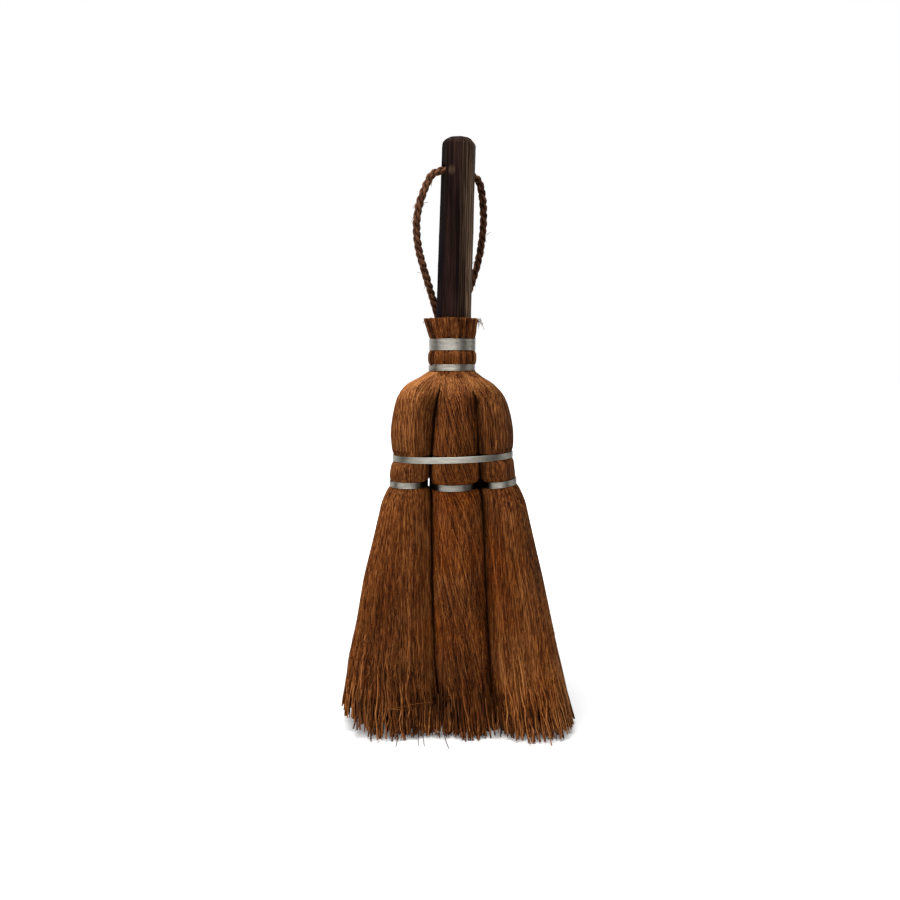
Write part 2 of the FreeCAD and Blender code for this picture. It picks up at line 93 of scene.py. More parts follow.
# The handle leans to the right about its foot, in the middle of the collar's rim.
HANDLE_LEAN = math.radians(1.8)
HANDLE_UP = Vector((math.sin(HANDLE_LEAN), 0.0, math.cos(HANDLE_LEAN)))
HANDLE_FOOT_X = -3.5 * MM
HANDLE_FOOT_Z = 282.0 * MM

# The handle's wear, a bare spot; the stripes' spacing; the rounded end; the heights of painted light up
# there.
WORN_SPOT = (-4.4 * MM, -10.0 * MM, 377.0 * MM)
STRIPE_SPACING = 1.45 * MM
ROUNDED_END = 6.5 * MM
TOP_LIGHT = (370.0 * MM, 388.0 * MM)
RIGHT_LIGHT_FADE = (360.0 * MM, 385.0 * MM)

# The cord's route: along the hole's axis, and down in the plane that the loop hangs in.
LOOP_TILT = math.radians(12.49)
CORD_ROUTE = (
    (0.0036, 0.1030), (-0.0052, 0.0848), (-0.0146, 0.0664), (-0.0233, 0.0480), (-0.0263, 0.0302),
    (-0.0226, 0.0126), (-0.0165, 0.0), (0.0155, 0.0), (0.0214, 0.0118), (0.0256, 0.0290),
    (0.0264, 0.0475), (0.0244, 0.0662), (0.0193, 0.0850), (0.0096, 0.1030),
)
CORD_STEP = 0.8 * MM
KNOT_PLACE = (0.0062, 0.1060)
KNOT_STEPS = 25
KNOT_STEP_TURN = math.radians(30.0)
HAIR_TUFTS = (0.16, 0.31, 0.36, 0.74, 0.78, 0.82)
TAIL_ENDS = ((0.0036, 0.1210), (0.0094, 0.1180))
TAIL_HAIRS = 14
HAIR_SIDES = 3

# A rusty patch on the right bundle's front: its middle, and how far it reaches each way.
RUST_PLACE = (24.0 * MM, -24.0 * MM, 124.0 * MM)
RUST_REACH = (8.0 * MM, 16.0 * MM, 34.0 * MM)

# How each bundle's fibre and the collar's differ in shade and tint, and what holds where nothing is said.
# Among these looks are painted shade on the lobes' sides and painted light on the lobes' tops.
LOOKS = {
    "left": {"warmth": 0.34, "pale": -0.01, "lobe": -0.02, "crown_light": 0.26, "slant": math.radians(-8.0)},
    "middle": {"warmth": 0.9, "head_warmth": 0.3, "foot_tone": 0.11, "lobe": -0.13, "crown_light": -0.12, "tips": 0.06,
               "slant": math.radians(-19.0)},
    "right": {"warmth": 0.62, "pale": -0.06, "foot_tone": -0.30, "lobe": -0.04, "crown_light": 0.05, "tips": -0.14,
              "rust": 0.9, "olive": 0.9, "slant": math.radians(-4.0)},
    "collar": {"warmth": 0.3, "head_warmth": 0.3, "pale": -0.12, "streak": 0.17},
}
PLAIN_LOOK = {"head_warmth": 0.0, "pale": 0.0, "foot_tone": 0.0, "lobe": 0.0, "crown_light": 0.0, "tips": 0.0,
              "rust": 0.0, "olive": 0.0, "streak": 0.04, "slant": 0.0}

# Heights between which the fibre's shade or tint fades from one value to another.
COOL_FADE = (4.0 * MM, 40.0 * MM)
TIPS_FADE = (10.0 * MM, 40.0 * MM)
FOOT_TONE_FADE = (15.0 * MM, 130.0 * MM)
HEAD_FADE = (165.0 * MM, 190.0 * MM)
LOBE_SHADE_START = (188.0 * MM, 200.0 * MM)
LOBE_SHADE_END = (222.0 * MM, 238.0 * MM)
CROWN_LIGHT_FADE = (218.0 * MM, 238.0 * MM)
LIP_FADE = (281.5 * MM, 283.0 * MM)

# What a strand's own shade, the patches and the flecks count for, and what is added in all and at the rim.
STRAND_WEIGHT = 0.60
PATCH_WEIGHT = 0.30
FLECK_WEIGHT = 0.58
BASE_SHADE = -0.24
LIP_SHADE = 0.22

# Painted shade on the wires in the gaps between the bundles: its colour, and the heights that it ends
# between.
GAP_SHADE = (0.012, 0.008, 0.006, 1.0)
GAP_SHADE_FADE = (178.0 * MM, 183.0 * MM)

# The bundles start under the collar's lower wire, and their outer bristles are cut on a slant.
BUNDLE_TOP = 250.5 * MM
NECK_START = 239.5 * MM
NECK_END = 248.6 * MM
NECK_SECTION = 256.0 * MM
TRIM_RUN = 26.0 * MM
LEFT_TRIM = 11.5 * MM
RIGHT_TRIM = 3.0 * MM
BODY_FOOT = 34.0 * MM
BODY_SHARE = 0.968
WIRE_ROOM = 0.009
PROFILE_LEVELS = np.arange(10.0 * MM, 246.0 * MM, 1.5 * MM)
SLOPE_ROW = 20
FOOT_LEAN = {"left": 0.0, "middle": 3.2 * MM, "right": -3.0 * MM}

# Rows of the guides that the shoulder fibres and the hem bristles cover.
SHOULDER_ROWS = range(21)
HEM_ROWS = range(200, GUIDE_ROWS)

# Painted shade in the gaps, as near-black fibre: the gap's number, half its width, and its lower and upper
# end, in mm.
SHADE_FILLINGS = {
    "left_inner_shade": (0, 2.6, 181.0, 206.0),
    "left_side_shade": (0, 0.9, 166.0, 183.0),
    "left_lower_shade": (0, 2.6, 140.0, 168.0),
    "right_inner_shade": (1, 2.6, 158.0, 206.0),
}

# Fibres that lie across the left fringe, and long bristles in front by root, tip and reach, in mm.
CROSSING_FIBRES = (
    ((-51.0, -31.5, 23.5), (-42.0, -33.5, 25.0), (-34.0, -31.0, 25.8), (-26.0, -27.0, 26.0),
     (-17.0, -26.0, 25.5)),
    ((-45.0, -33.0, 24.3), (-39.0, -33.5, 24.5), (-35.0, -31.5, 22.5)),
)
LONG_BRISTLES = ((-40.5, -41.5, 38.0), (-24.0, -22.5, 37.0), (-27.0, -26.6, 36.0), (-10.0, -6.0, 40.5))
STRAY_STEP = 2.0 * MM

# How far neighbouring bundles press into each other, and how far wires stand out of their seats.
PRESS = 0.8 * MM
WIRE_PROUD = 0.25 * MM

# How far each winding is moved along x and z, how much wider it is than its seat, and how steeply it is tied.
WIRES = {
    "upper_collar_wire": (-0.4 * MM, 0.0, 0.9 * MM, 0.01),
    "lower_collar_wire": (-0.8 * MM, 0.0, 0.4 * MM, 0.015),
    "waist_band_wire": (0.0, 0.0, 0.0, 0.035),
    "left_tie_wire": (-0.4 * MM, 1.2 * MM, -0.2 * MM, 0.0),
    "middle_tie_wire": (-0.9 * MM, 0.0, 0.9 * MM, 0.03),
    "right_tie_wire": (0.0, 1.8 * MM, 0.0, 0.12),
}

# The collar's outline: where it starts and flares, and how its rim was pushed aside.
COLLAR_FOOT = 246.5 * MM
COLLAR_LEVEL = 248.2 * MM
FLARE_FOOT = 270.0 * MM
COLLAR_SHIFT = -0.5 * MM
RIM_SHIFT = -0.9 * MM
RIM_LIFT = 1.2 * MM
TUFT_FIBRES = 9

# Dark cards that show in the wire: the direction that each stands in, in degrees, and its width.
FLAGS = {"left_flag": (180.0, 0.36), "right_flag": (-30.0, 0.46), "back_flag": (42.0, 0.26)}

# The lamps and the floor.
LAMP_SIZE = 0.8
LAMP_AIM = (0.0, 0.0, 0.2)
FLOOR_REACH = 6.0
WHITE = (1.0, 1.0, 1.0, 1.0)

# Inputs of the two geometry trees, by kind of socket.
STRAND_TREE = "Fibre strands"
STRAND_INPUTS = {
    "Geometry": ("Guide",),
    "Int": ("Count", "Points", "Seed"),
    "Float": ("From", "From Spread", "To", "To Spread", "Inner", "Outer", "Depth Bend", "Twist", "Twist Bend",
              "Flow", "Wander", "Length", "Slant", "Splay", "Clump", "Clump Size", "Radius", "Tip"),
    "Material": ("Material",),
}
WINDING_INPUTS = {
    "Geometry": ("Geometry",),
    "Float": ("Turns", "Half Width", "Half Depth", "Wire Radius", "Slope"),
    "Vector": ("Middle",),
    "Int": ("Seed",),
    "Material": ("Material",),
}

# What strands are laid with where nothing is said, and how far each bundle's fibre winds round it.
PLAIN_STRAND = {"From Spread": 0.0, "To Spread": 0.0, "Depth Bend": 1.0, "Twist": 0.0, "Twist Bend": 1.0,
                "Flow": 0.0, "Length": 2.0, "Slant": 0.0, "Splay": 0.0, "Clump": 0.0, "Clump Size": 5.0 * MM}
HEAD_TWIST = (0.03, 0.16, 0.0)
SKIRT_TWIST = (0.03, 0.26, 0.0)


def length_setting(name, description, default):
    """A small length."""
    return FloatProperty(name=name, description=description, default=default, unit="LENGTH", precision=5)


def amount_setting(name, description, default, least=0.0):
    """A number that doesn't go below a least value."""
    return FloatProperty(name=name, description=description, default=default, min=least)


def count_setting(name, description, default, least=1):
    """How many there are of something."""
    return IntProperty(name=name, description=description, default=default, min=least)


def colour_setting(name, description, default):
    """A colour."""
    return FloatVectorProperty(name=name, description=description, subtype="COLOR", default=default, min=0.0,
                               max=1.0)


class FibreSettings(bpy.types.PropertyGroup):
    """Sizes and colours of the palm fibre."""

    fibre_radius: length_setting(
        "Fibre radius", "Half the thickness of a fibre on the lobes and skirts", 0.25 * MM)
    bristle_radius: length_setting(
        "Bristle radius", "Half the thickness of a loose bristle in the fringe", 0.58 * MM)
    head_count: count_setting("Head fibres", "Fibres over one bundle's lobe", 1700)
    skirt_count: count_setting("Skirt fibres", "Fibres over one bundle's skirt", 1500)
    fringe_count: count_setting("Bristles", "Outer bristles in one bundle's fringe", 520)
    core_count: count_setting("Core bristles", "Bristles inside one bundle's fringe", 800)
    hem_count: count_setting("Hem bristles", "Bristles that close the gaps between the bundles' feet", 600)
    felt_count: count_setting("Short fibres", "Short fibres that lie askew on one bundle", 1800)
    loose_count: count_setting("Loose fibres", "Fibres that lie across the others on one bundle", 110)
    collar_count: count_setting("Collar fibres", "Fibres round the collar", 620)
    rim_count: count_setting("Rim fibres", "Cut fibre ends that fill the collar's rim", 1500)
    dark: colour_setting("Dark fibre", "Colour of the darkest fibres", (0.016, 0.0045, 0.0015))
    middle: colour_setting("Middle fibre", "Colour of most fibres", (0.155, 0.0445, 0.0095))
    light: colour_setting("Light fibre", "Colour of the palest fibres", (0.43, 0.172, 0.052))
    orange: colour_setting("Orange tint", "Tint of the warm patches", (1.0, 0.73, 0.34))
    olive: colour_setting("Olive tint", "Tint of the right bundle's outer side", (0.74, 0.86, 1.0))


class WireSettings(bpy.types.PropertyGroup):
    """Sizes and colour of the binding wire."""

    radius: length_setting("Wire radius", "Half the thickness of the wire", 0.41 * MM)
    upper_turns: amount_setting("Upper collar turns", "Turns of the wire under the rim", 9.0, 1.0)
    lower_turns: amount_setting("Lower collar turns", "Turns of the wire over the bundles", 4.4, 1.0)
    band_turns: amount_setting("Band turns", "Turns of the band round all three lobes", 4.6, 1.0)
    tie_turns: amount_setting("Tie turns", "Turns of each bundle's own tie", 4.4, 1.0)
    steel: colour_setting("Steel", "Colour of the wire", (0.315, 0.30, 0.264))


class CordSettings(bpy.types.PropertyGroup):
    """Sizes and colours of the hanging cord."""

    diameter: length_setting("Cord diameter", "Thickness of the twisted cord", 4.6 * MM)
    lay: length_setting("Lay length", "Length in which a ply goes round once", 15.0 * MM)
    hair_count: count_setting("Hairs", "Loose hairs that stand out of the cord", 60, 0)
    dark: colour_setting("Dark cord", "Colour in the cord's grooves", (0.022, 0.008, 0.004))
    light: colour_setting("Light cord", "Colour of the cord's crests", (0.195, 0.083, 0.042))


class WoodSettings(bpy.types.PropertyGroup):
    """Colours of the handle and of the small hidden parts."""

    dark: colour_setting("Dark wood", "Colour of the handle's dark grain", (0.0042, 0.0019, 0.0016))
    brown: colour_setting("Brown wood", "Colour of the handle's front", (0.028, 0.0125, 0.0098))
    left_shade: colour_setting("Shaded wood", "Colour of the handle's dark left edge", (0.0030, 0.0027, 0.0033))
    olive: colour_setting("Olive wood", "Colour of the handle's lighter right side", (0.215, 0.137, 0.083))
    bamboo: colour_setting("Bamboo", "Colour of the pin through the bundles", (0.54, 0.35, 0.14))
    brass: colour_setting("Brass", "Colour of the nail", (0.52, 0.34, 0.10))


class StageSettings(bpy.types.PropertyGroup):
    """Camera, lamps and floor."""

    lens: amount_setting("Lens", "Focal length of the camera in mm", 30.4, 1.0)
    camera_place: FloatVectorProperty(
        name="Camera", description="Where the camera stands", subtype="TRANSLATION", unit="LENGTH",
        default=(-0.0055, -0.515, 0.259))
    camera_pitch: FloatProperty(
        name="Pitch", description="How far the camera looks down", subtype="ANGLE",
        default=math.radians(7.125))
    key_power: amount_setting("Key lamp", "Power of the large soft lamp above, at the left", 27.0)
    fill_power: amount_setting("Fill lamp", "Power of the lamp at the left", 4.0)
    sky: amount_setting("Sky", "Strength of the light from all round", 0.30)


class Wiring:
    """Adds nodes to one node tree and links them."""

    def __init__(self, tree):
        self.tree = tree

    def feed(self, socket, value):
        """Link a socket to another one, or give it a value."""
        if isinstance(value, bpy.types.NodeSocket):
            self.tree.links.new(value, socket)
        else:
            socket.default_value = value

    def add(self, kind, feeds, output=0, **settings):
        """Add one node and return one of its outputs."""
        node = self.tree.nodes.new(kind)
        for name, setting in settings.items():
            setattr(node, name, setting)
        for place, value in feeds.items():
            self.feed(node.inputs[place], value)
        return node.outputs[output]

    def math(self, operation, *values):
        """A sum, product or other result of numbers."""
        return self.add("ShaderNodeMath", dict(enumerate(values)), operation=operation)

    def total(self, *values):
        """The sum of some numbers."""
        return functools.reduce(functools.partial(self.math, "ADD"), values)

    def product(self, *values):
        """The product of some numbers."""
        return functools.reduce(functools.partial(self.math, "MULTIPLY"), values)

    def vector(self, operation, *values):
        """A sum, product or other result of vectors."""
        return self.add("ShaderNodeVectorMath", dict(enumerate(values)), operation=operation)

    def scaled(self, vector, factor):
        """A vector made longer or shorter."""
        return self.add("ShaderNodeVectorMath", {0: vector, 3: factor}, operation="SCALE")

    def size(self, vector):
        """How long a vector is."""
        return self.add("ShaderNodeVectorMath", {0: vector}, "Value", operation="LENGTH")

    def joined(self, x, y, z):
        """A vector from its three parts."""
        return self.add("ShaderNodeCombineXYZ", {0: x, 1: y, 2: z})

    def parts(self, vector):
        """The three parts of a vector."""
        node = self.tree.nodes.new("ShaderNodeSeparateXYZ")
        self.feed(node.inputs[0], vector)
        return node.outputs

    def between(self, share, low, high):
        """A number between two others."""
        return self.add("ShaderNodeMix", {0: share, 2: low, 3: high}, data_type="FLOAT")

    def blended(self, share, first, second, mode="MIX"):
        """A colour between two others."""
        return self.add("ShaderNodeMix", {0: share, 6: first, 7: second}, 2, data_type="RGBA",
                        blend_type=mode)

    def ranged(self, value, low, high, first=0.0, last=1.0):
        """A number carried from one range to another, and held inside it."""
        return self.add("ShaderNodeMapRange", {0: value, 1: low, 2: high, 3: first, 4: last})

    def speckle(self, vector, scale=1.0, detail=2.0, roughness=0.5):
        """A soft random pattern from 0 to 1."""
        return self.add("ShaderNodeTexNoise", {"Vector": vector, "Scale": scale, "Detail": detail,
                                               "Roughness": roughness}, "Fac")

    def uneven(self, vector):
        """A soft random pattern round 0."""
        return self.math("SUBTRACT", self.speckle(vector), 0.5)

    def lengthwise(self, across, along, detail, lean=0.0, roughness=0.5):
        """A random pattern on the object, drawn out along z and leaning by an angle."""
        place = object_place(self, (across, across, along), (0.0, lean, 0.0))
        return self.speckle(place, 1.0, detail, roughness)

    def bump(self, height, strength, distance):
        """A surface direction that follows a height."""
        return self.add("ShaderNodeBump", {"Height": height, "Strength": strength, "Distance": distance})

    def stored(self, name, kind):
        """What a mesh carries under a name, in a geometry tree."""
        return self.add("GeometryNodeInputNamedAttribute", {"Name": name}, "Attribute", data_type=kind)


def rgba(colour, factor=1.0):
    """A colour with full cover, made lighter or darker by a factor."""
    return (*(factor * part for part in colour), 1.0)


def new_material(name):
    """An empty material and its wiring."""
    material = bpy.data.materials.new(name)
    material.use_nodes = True
    return material, Wiring(material.node_tree)


def finished(material, wire, inputs):
    """The material, with its surface shader's inputs linked or set."""
    surface = material.node_tree.nodes["Principled BSDF"]
    for name, value in inputs.items():
        wire.feed(surface.inputs[name], value)
    return material


def object_place(wire, scale=(1.0, 1.0, 1.0), turn=(0.0, 0.0, 0.0)):
    """The place on the object, stretched and turned for a pattern."""
    place = wire.add("ShaderNodeTexCoord", {}, "Object")
    return wire.add("ShaderNodeMapping", {"Vector": place, "Rotation": turn, "Scale": scale})


def attribute(wire, name):
    """A number that a mesh carries at each point."""
    return wire.add("ShaderNodeAttribute", {}, "Fac", attribute_name=name)


def fibre_shade(wire, look, z, streak):
    """How light the fibre is: by strand, fleck and patch, and by its height on the broom."""
    patch = wire.speckle(object_place(wire), 45.0, 3.0)
    fleck = wire.lengthwise(1450.0, 80.0, 2.0, look["slant"])
    strand = wire.product(attribute(wire, "tint"), STRAND_WEIGHT)
    pale = look["pale"] + BASE_SHADE
    # Painted shade on the lobes' sides, between two pairs of heights.
    lobe = wire.product(wire.ranged(z, *LOBE_SHADE_START, 0.0, look["lobe"]), wire.ranged(z, *LOBE_SHADE_END, 1.0, 0.0))
    return wire.total(
        strand,
        wire.product(patch, PATCH_WEIGHT),
        wire.product(wire.ranged(fleck, 0.3, 0.7), FLECK_WEIGHT),
        # Darker towards the bottom on the middle bundle, lighter towards the bottom on the right one.
        wire.ranged(z, *FOOT_TONE_FADE, pale - look["foot_tone"], pale),
        wire.ranged(streak, 0.36, 0.64, -look["streak"], look["streak"]),
        lobe,
        # Painted light on the lobes' tops; where the value is below 0, painted shade.
        wire.ranged(z, *CROWN_LIGHT_FADE, 0.0, look["crown_light"]),
        wire.ranged(z, *LIP_FADE, 0.0, LIP_SHADE),
        wire.ranged(z, *TIPS_FADE, look["tips"], 0.0))


def fibre_material(place, settings):
    """Palm fibre: each strand's own shade and fine flecks, patches that run warm, pale or olive, and painted
    shade.
    """
    look = {**PLAIN_LOOK, **LOOKS[place]}
    material, wire = new_material(place + "_palm_fibre")
    x, _, z = wire.parts(object_place(wire))
    streak = wire.lengthwise(260.0, 14.0, 2.0)
    shade = fibre_shade(wire, look, z, streak)
    low = wire.blended(wire.ranged(shade, 0.10, 0.52), rgba(settings.dark), rgba(settings.middle))
    colour = wire.blended(wire.ranged(shade, 0.52, 1.0), low, rgba(settings.light))
    patch = wire.ranged(wire.speckle(object_place(wire), 28.0), 0.40, 0.62, 0.25, 1.0)
    warm = wire.product(patch, wire.ranged(z, *HEAD_FADE, look["warmth"], look["head_warmth"]),
                        wire.ranged(z, *COOL_FADE))
    away = wire.vector("SUBTRACT", object_place(wire), RUST_PLACE)
    away = wire.size(wire.vector("DIVIDE", away, RUST_REACH))
    rust = wire.product(wire.ranged(away, 0.35, 1.2, look["rust"], 0.0),
                        wire.ranged(streak, 0.42, 0.58, 0.35, 1.0))
    for share in (warm, rust):
        colour = wire.blended(share, colour, rgba(settings.orange), "MULTIPLY")
    outer = wire.math("MULTIPLY_ADD", z, 0.21, x)
    edge = wire.ranged(outer, 66.0 * MM, 86.0 * MM, 0.0, look["olive"])
    colour = wire.blended(edge, colour, rgba(settings.olive), "MULTIPLY")
    # Painted shade in the crevices between the bundles and on the deeper strands.
    hidden = wire.product(attribute(wire, "deep"), 0.93)
    colour = wire.blended(hidden, colour, rgba(settings.dark, 0.2))
    return finished(material, wire, {"Base Color": colour, "Roughness": 0.65, "Specular IOR Level": 0.06})


def painted_shade_material(settings):
    """Painted shade: near-black fibre under the outer strands, with fine lengthwise ridges."""
    material, wire = new_material(SHADE_MATERIAL)
    streak = wire.lengthwise(1400.0, 30.0, 3.0)
    colour = wire.blended(wire.ranged(streak, 0.3, 0.8), rgba(settings.dark, 0.35), rgba(settings.dark))
    return finished(material, wire, {"Base Color": colour, "Normal": wire.bump(streak, 0.6, 0.4 * MM),
                                     "Roughness": 0.8, "Specular IOR Level": 0.03})


def steel_material(settings):
    """Drawn steel wire, a little dulled, with painted shade in the gaps between the bundles."""
    material, wire = new_material("binding_wire_steel")
    dull = wire.lengthwise(160.0, 900.0, 2.0)
    colour = wire.blended(wire.ranged(dull, 0.35, 0.75), rgba(settings.steel), rgba(settings.steel, 0.75))
    x, _, z = wire.parts(object_place(wire))
    below_band = wire.ranged(z, *GAP_SHADE_FADE, 0.94, 0.0)
    # Painted shade: the wire is darkened near each gap between the bundles, below the band.
    for gap in bundle_gaps():
        away = wire.math("ABSOLUTE", wire.math("SUBTRACT", x, gap))
        gap_shade = wire.product(wire.ranged(away, 4.6 * MM, 7.2 * MM, 1.0, 0.0), below_band)
        colour = wire.blended(gap_shade, colour, GAP_SHADE)
    return finished(material, wire, {"Base Color": colour, "Metallic": 1.0,
                                     "Roughness": wire.ranged(dull, 0.3, 0.8, 0.31, 0.38)})


def cord_material(settings):
    """Twisted palm cord, with painted shade in its grooves and on its right strand."""
    material, wire = new_material("twisted_palm_cord")
    patch = wire.speckle(object_place(wire), 160.0, 3.0)
    fine = wire.speckle(object_place(wire), 1500.0)
    x = wire.parts(object_place(wire))[0]
    # The last term is painted shade on the right strand, darker towards the right.
    shade = wire.total(wire.product(attribute(wire, "tint"), 0.55), wire.product(patch, 0.32),
                       wire.product(fine, 0.3), wire.ranged(x, 4.0 * MM, 14.0 * MM, 0.0, -0.20))
    colour = wire.blended(wire.ranged(shade, 0.2, 0.95), rgba(settings.dark), rgba(settings.light))
    return finished(material, wire, {"Base Color": colour, "Normal": wire.bump(fine, 0.5, 0.25 * MM),
                                     "Roughness": 0.75, "Specular IOR Level": 0.05})


def handle_material(settings):
    """Dark planed wood with lengthwise grain; painted light on its right side and top, painted shade on its
    left.
    """
    material, wire = new_material("dark_handle_wood")
    x, y, z = wire.parts(object_place(wire))
    slope = math.tan(HANDLE_LEAN)
    across = wire.math("MULTIPLY_ADD", z, -slope, wire.total(x, HANDLE_FOOT_Z * slope - HANDLE_FOOT_X))
    grain = wire.lengthwise(420.0, 9.0, 4.0, -HANDLE_LEAN, 0.6)
    pores = wire.lengthwise(1700.0, 55.0, 2.0, -HANDLE_LEAN)
    cloud = wire.lengthwise(70.0, 24.0, 3.0, -HANDLE_LEAN)
    shade = wire.total(wire.product(grain, 0.75), wire.product(cloud, 0.45))
    colour = wire.blended(wire.ranged(shade, 0.50, 0.72), rgba(settings.dark), rgba(settings.brown))
    wavy = wire.math("MULTIPLY_ADD", wire.math("SUBTRACT", grain, 0.5), 6.0 * MM, across)

    # Painted light on the right side, which fades towards the top, and on the top end.
    top = wire.ranged(z, *TOP_LIGHT, 0.0, 0.07)
    right = wire.math("MAXIMUM", wire.ranged(wavy, 1.2 * MM, 8.6 * MM), top)
    right = wire.product(right, wire.ranged(z, *RIGHT_LIGHT_FADE, 0.92, 0.55))
    lit_olive = wire.blended(wire.ranged(across, 6.0 * MM, 9.5 * MM), rgba(settings.olive),
                        rgba(settings.olive, 1.55))
    light = wire.blended(wire.ranged(grain, 0.36, 0.62), rgba(settings.brown), lit_olive)
    colour = wire.blended(right, colour, light)

    # Painted shade on the dark left edge, and the spot that the cord has worn.
    left_shade = wire.product(wire.ranged(wavy, -6.0 * MM, -8.5 * MM), wire.ranged(y, 0.0, 5.0 * MM, 1.0, 0.3),
                        wire.ranged(cloud, 0.40, 0.60, 0.25, 0.95))
    colour = wire.blended(left_shade, colour, rgba(settings.left_shade))
    spot = wire.vector("SUBTRACT", object_place(wire), WORN_SPOT)
    spot = wire.size(wire.vector("MULTIPLY", spot, (1.0, 0.5, 0.7)))
    colour = wire.blended(wire.ranged(spot, 0.0, 2.6 * MM, 0.48, 0.0), colour, rgba(settings.olive))

    # Dark lines: the fine stripes of the right side, the year rings and the pores.
    wobble = wire.total(wire.product(cloud, 3.0), wire.product(grain, 5.0))
    stripes = wire.math("SINE", wire.math("MULTIPLY_ADD", across, FULL_TURN / STRIPE_SPACING, wobble))
    lines = [wire.product(wire.ranged(stripes, 0.0, 0.9, 0.0, 0.72), wire.ranged(across, 0.0, 4.0 * MM))]
    for scale, strength in ((430.0, 0.6), (900.0, 0.5)):
        rings = wire.lengthwise(scale, 5.0, 1.0, -HANDLE_LEAN)
        away = wire.math("ABSOLUTE", wire.math("SUBTRACT", rings, 0.5))
        lines.append(wire.ranged(away, 0.0, 0.045, strength, 0.0))
    lines.append(wire.ranged(pores, 0.52, 0.66, 0.0, 0.7))
    for line in lines:
        colour = wire.blended(line, colour, rgba(settings.dark))
    height = wire.math("MULTIPLY_ADD", pores, 0.5, grain)
    return finished(material, wire, {"Base Color": colour, "Normal": wire.bump(height, 0.45, 0.35 * MM),
                                     "Roughness": 0.62, "Specular IOR Level": 0.02})


def bamboo_material(settings):
    """Split bamboo with fine lengthwise grain."""
    material, wire = new_material("split_bamboo")
    grain = wire.speckle(object_place(wire, (40.0, 1800.0, 1800.0)), 1.0, 3.0)
    colour = wire.blended(wire.ranged(grain, 0.3, 0.7), rgba(settings.bamboo, 0.6), rgba(settings.bamboo))
    return finished(material, wire, {"Base Color": colour, "Roughness": 0.55})


def brass_material(settings):
    """Brass nail, a little tarnished."""
    material, wire = new_material("nail_brass_tarnished")
    spots = wire.speckle(object_place(wire), 900.0, 3.0)
    colour = wire.blended(wire.ranged(spots, 0.4, 0.7), rgba(settings.brass), rgba(settings.brass, 0.55))
    return finished(material, wire, {"Base Color": colour, "Metallic": 1.0,
                                     "Roughness": wire.ranged(spots, 0.3, 0.7, 0.28, 0.5)})


def field(items, name, width, kind=float):
    """A row of values for each point, edge or corner of a mesh."""
    values = np.empty(len(items) * width, dtype=kind)
    items.foreach_get(name, values)
    return values.reshape(-1, width)


def store(mesh, name, values, kind="FLOAT", part="value"):
    """Let a mesh carry a number or a place at each point."""
    mesh.attributes.new(name, kind, "POINT").data.foreach_set(part, values)


def mesh_of(name, form):
    """A mesh made from an editable form, which is then freed."""
    mesh = bpy.data.meshes.new(name)
    form.to_mesh(mesh)
    form.free()
    return mesh


def solid_edges(name):
    """Corner places and edges of one CAD solid."""
    mesh = frame["nodes"][name].data
    return field(mesh.vertices, "co", 3), field(mesh.edges, "vertices", 2, int)


def section_box(solids, height):
    """Lowest and highest x and y where a level plane cuts some solids."""
    cuts = []
    for places, edges in solids:
        start = places[edges[:, 0]]
        end = places[edges[:, 1]]
        crossing = (start[:, 2] - height) * (end[:, 2] - height) < 0
        start = start[crossing]
        end = end[crossing]
        share = (height - start[:, 2]) / (end[:, 2] - start[:, 2])
        cuts.append((start + share[:, None] * (end - start))[:, :2])
    cuts = np.concatenate(cuts)
    return cuts.min(axis=0), cuts.max(axis=0)


def smoothed(values, width):
    """A row of values, evened out by a bell curve that many steps wide."""
    reach = int(3 * width) + 1
    weights = np.exp(-0.5 * (np.arange(-reach, reach + 1) / width) ** 2)
    padded = np.pad(values, reach, mode="reflect", reflect_type="odd")
    return np.convolve(padded, weights / weights.sum(), mode="valid")


def eased(value):
    """0 below 0, 1 above 1, and a smooth step between."""
    value = np.clip(value, 0.0, 1.0)
    return value * value * (3.0 - 2.0 * value)


def rising(heights, none, full):
    """0 at one height and 1 at another one, both in mm, and a smooth step between."""
    return eased((heights - none * MM) / ((full - none) * MM))


def binding_oval(name):
    """Middle place and the half width and half depth of a wire winding's centre line."""
    low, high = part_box(name)
    inset = bpy.context.scene.broom_wire.radius - WIRE_PROUD
    shift_x, shift_z, ease, _ = WIRES[name]
    middle = (low + high) / 2 + Vector((shift_x, 0.0, shift_z))
    return middle, (high.x - low.x) / 2 - inset + ease, (high.y - low.y) / 2 - inset + ease / 2


def drawn_in(x, y, oval, slack, weight):
    """Points pulled inside a wire's oval, by a weight for each row."""
    middle, half_width, half_depth = oval
    reach = np.hypot((x - middle.x) / (half_width - slack), y / (half_depth - slack))
    share = 1.0 - weight * (1.0 - 1.0 / np.maximum(reach, 1.0))
    return middle.x + (x - middle.x) * share, y * share


def bundle_profile(side, heights):
    """Middle x, half width and half depth of one bundle's solids at each height."""
    solids = [solid_edges(side + "_wrap"), solid_edges(side + "_core")]
    bindings = [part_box(side + "_tie_wire"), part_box("waist_band_wire")]
    rows = []
    for height in PROFILE_LEVELS:
        if any(low.z - MM < height < high.z + MM for low, high in bindings):
            continue
        low, high = section_box(solids, height)
        rows.append((height, (low[0] + high[0]) / 2, (high[0] - low[0]) / 2, (high[1] - low[1]) / 2))
    rows = np.array(rows)
    slope = (rows[SLOPE_ROW] - rows[0]) / (rows[SLOPE_ROW, 0] - rows[0, 0])
    rows = np.vstack((rows[0] - slope * rows[0, 0], rows))
    return [smoothed(np.interp(heights, rows[:, 0], rows[:, part])[::-1], 2.5)[::-1] for part in (1, 2, 3)]


